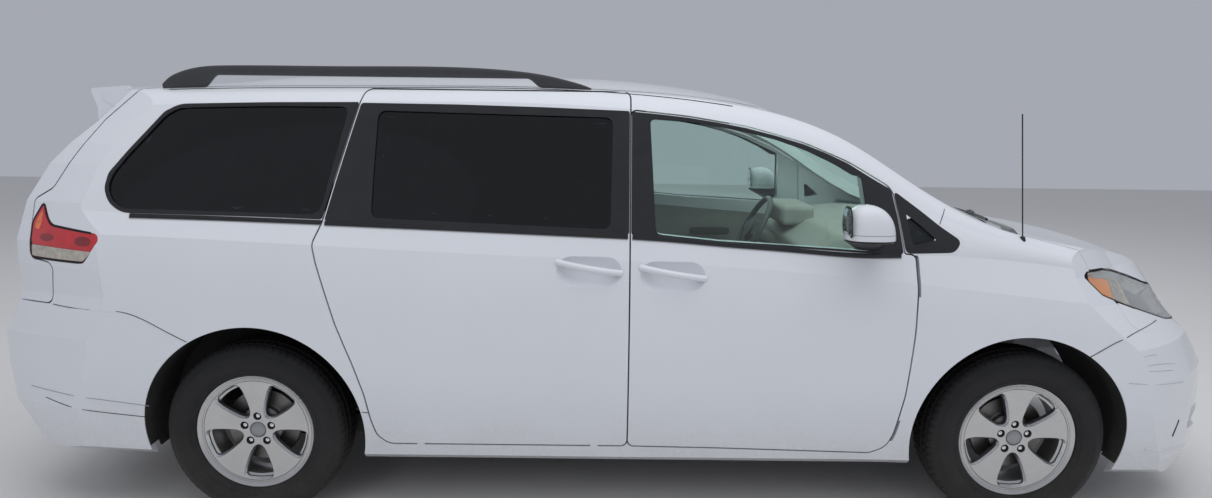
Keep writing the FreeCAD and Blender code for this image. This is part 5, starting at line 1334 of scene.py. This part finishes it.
# Seats: each pad is a rounded block |x|^p + |y|^p + |z|^p = 1 with bolsters and sewn channels pressed into
# it.
def padBlock(half, crown=0.0, channels=(), bolster=0.0, columns=88, rows=56, power=0.30):
    around = np.linspace(-np.pi, np.pi, columns, endpoint=False)
    level = np.linspace(-np.pi / 2, np.pi / 2, rows)
    a, b = np.meshgrid(around, level, indexing="ij")
    level = signedPower(np.cos(b), power)
    unit = np.stack([level * signedPower(np.cos(a), power), level * signedPower(np.sin(a), power),
                     signedPower(np.sin(b), power)], -1)
    points = unit * np.array(half, float)
    top = np.clip(unit[..., 2], 0, 1) ** 4
    side = np.clip((np.abs(unit[..., 1]) - 0.62) / 0.3, 0, 1)
    points[..., 2] += top * (bolster * side ** 2 - bolster * 0.6 + crown * (1 - unit[..., 0] ** 2)
                             * (1 - side))
    for axis, spot in channels:
        points[..., 2] -= top * 7.0 * np.exp(-((np.abs(unit[..., axis]) - spot) / 0.035) ** 2)
    return points.reshape(-1, 3), gridFaces(columns, rows, closeRows=True)


seatRows = {
    "front": {"x": frontAxle - 1225, "y": (-400, 400), "half": 255, "back": 600, "heads": (0,),
              "node": "front_seats"},
    "middle": {"x": frontAxle - 2180, "y": (-400, 400), "half": 250, "back": 600, "heads": (0,),
               "node": "middle_seats"},
    "rear": {"x": rearAxle + 60, "y": (0,), "half": 620, "back": 560, "heads": (-460, 0, 460),
             "node": "rear_seat"},
}


def leaned(points, x):
    # the back's own frame leans 18 degrees rearwards about its foot
    c, s = math.cos(math.radians(18)), math.sin(math.radians(18))
    return np.stack([x - 150 + points[:, 0] * c - points[:, 2] * s, points[:, 1],
                     660 + points[:, 0] * s + points[:, 2] * c], 1)


def addSeats(rows):
    for rowName, row in rows.items():
        for index, y in enumerate(row["y"]):
            name = "%sSeat%d_" % (rowName, index)
            width, back = row["half"], row["back"]
            channels = ((1, 0.58), (0, 0.35)) if len(row["heads"]) == 1 else ((1, 0.36), (1, 0.98))
            cushion, quads = padBlock((254, width - 6, 60), 8.0, channels, 9.0)
            placed = cushion + [row["x"] + 70, y, 668]
            piece = addMesh(name + "cushion", placed, outwards(placed, quads), "car_body", "seatCloth",
                            [row["node"]] if index == 0 else [])
            # the back is the same block stood up: its padded side faces forwards
            block, quads = padBlock((back / 2 - 4, width - 18, 54), 5.0, channels, 8.0)
            upright = np.stack([block[:, 2], block[:, 1], block[:, 0] + back / 2], 1)
            placed = leaned(upright, row["x"]) + [0, y, 0]
            piece = addMesh(name + "back", placed, outwards(placed, quads), "car_body", "seatCloth")
            for k, head in enumerate(row["heads"]):
                block, quads = padBlock((84, 118, 38), 3.0, (), 0.0, 64, 40, 0.45)
                upright = np.stack([block[:, 2], block[:, 1], block[:, 0] + back + 84], 1)
                placed = leaned(upright, row["x"]) + [0, y + head, 0]
                piece = addMesh("%shead%d" % (name, k), placed, outwards(placed, quads), "car_body",
                                "seatCloth")
            base = softCorners([(row["x"] - 150, 402), (row["x"] + 228, 402), (row["x"] + 228, 606),
                                (row["x"] - 150, 606)],
                               30.0, 12.0)
            half = width - 92
            addSlab(name + "base", base, y - half, y + half, 1, "car_body", "cabinDark", 60.0)
    print("seats done")


# Inside of the front doors: a trim sheet on the inner face, an armrest and a pull.
doorTrim = {"outline": [(30, 1118), (330, 1096), (620, 1072), (880, 1052), (1000, 1040), (1010, 700),
                        (985, 480), (40, 480)],
            "armrest": ((480, 838, 800), (300, 26, 34)), "pull": ((520, 846, 930), (120, 16, 22))}


def addDoorTrim(values):
    for side, sideName in sideNames.items():
        skinPatch("doorTrim_" + sideName, [softCorners(values["outline"], 40.0, 16.0)], "side", side,
                  doorBodies[side],
                  "cabinGrey", -73.0, 2.0, 44.0)
        for part in ("armrest", "pull"):
            centre, half = values[part]
            block, quads = padBlock(half, 0.0, (), 0.0, 56, 32, 0.4)
            placed = block + [centre[0], side * centre[1], centre[2]]
            addMesh("%s_%s" % (part, sideName), placed, outwards(placed, quads), doorBodies[side],
                    "cabinDark")
    print("door trims done")


addArchBands(archLinerShadeBand)
addRoofSkin(roofCrown)
addDetails(details)
addSeats(seatRows)
addDoorTrim(doorTrim)


def simpleShade(name, colour, roughness):
    material = bpy.data.materials.new(name)
    material.use_nodes = True
    shader = material.node_tree.nodes["Principled BSDF"]
    shader.inputs["Base Color"].default_value = (*colour, 1)
    shader.inputs["Roughness"].default_value = roughness
    return material


studio = {"floor": 30.0, "floorColour": (0.72, 0.71, 0.70), "sky": (0.86, 0.90, 1.0), "skyStrength": 0.44,
          "lamps": (("lampAbove", (0.5, -1.5, 7.0), (0.1, -0.3, 0.8), 8.0, 260.0),
                    ("lampFront", (6.5, -6.5, 5.5), (1.5, 0.0, 0.8), 4.0, 60.0),
                    ("lampSide", (-4.5, -9.0, 6.0), (-0.5, 0.0, 0.9), 5.0, 95.0),
                    ("lampFar", (0.0, 8.0, 5.0), (0.0, 0.0, 1.0), 5.0, 120.0))}


def addStudio(values):
    half = values["floor"] / 2
    mesh = bpy.data.meshes.new("floor")
    mesh.from_pydata([(-half, -half, 0), (half, -half, 0), (half, half, 0), (-half, half, 0)], [],
                     [(0, 1, 2, 3)])
    floor = bpy.data.objects.new("floor", mesh)
    bpy.context.scene.collection.objects.link(floor)
    mesh.materials.append(simpleShade("paleFloor", values["floorColour"], 0.7))
    for name, place, target, size, power in values["lamps"]:
        lamp = bpy.data.lights.new(name, "AREA")
        lamp.shape, lamp.size, lamp.energy = "DISK", size, power
        holder = bpy.data.objects.new(name, lamp)
        bpy.context.scene.collection.objects.link(holder)
        holder.visible_glossy = False
        aim = (Matrix.Identity(3) @ (bpyVector(target) - bpyVector(place))).to_track_quat("-Z", "Y")
        holder.matrix_world = Matrix.Translation(place) @ aim.to_matrix().to_4x4()
    world = bpy.data.worlds.new("sky")
    bpy.context.scene.world = world
    world.use_nodes = True
    world.node_tree.nodes["Background"].inputs[0].default_value = (*values["sky"], 1)
    world.node_tree.nodes["Background"].inputs[1].default_value = values["skyStrength"]
    print("studio set")


def bpyVector(values):
    return Matrix.Translation(values).to_translation()


cameraPlace = {"place": (-0.113, -4.091, 1.629), "pitch": 0.164, "yaw": 0.003, "roll": 0.012,
               "focalPixels": 830.0, "imageWidth": 1212.0, "sensor": 36.0}


def addCamera(values):
    p, w, r = values["pitch"], values["yaw"], values["roll"]
    forward = np.array([math.sin(w) * math.cos(p), math.cos(w) * math.cos(p), -math.sin(p)])
    right = np.array([math.cos(w), -math.sin(w), 0.0])
    up = np.cross(right, forward)
    tilted = math.cos(r) * right + math.sin(r) * up
    upright = math.cos(r) * up - math.sin(r) * right
    turn = Matrix([(tilted[i], upright[i], -forward[i]) for i in range(3)]).to_4x4()
    lens = bpy.data.cameras.new("camera")
    lens.sensor_fit, lens.sensor_width = "HORIZONTAL", values["sensor"]
    lens.lens = values["focalPixels"] / values["imageWidth"] * values["sensor"]
    lens.clip_start, lens.clip_end = 0.05, 100.0
    camera = bpy.data.objects.new("camera", lens)
    bpy.context.scene.collection.objects.link(camera)
    camera.matrix_world = Matrix.Translation(values["place"]) @ turn
    bpy.context.scene.camera = camera
    print("camera set")


addStudio(studio)
addCamera(cameraPlace)
bpy.context.scene.view_settings.view_transform = "Standard"
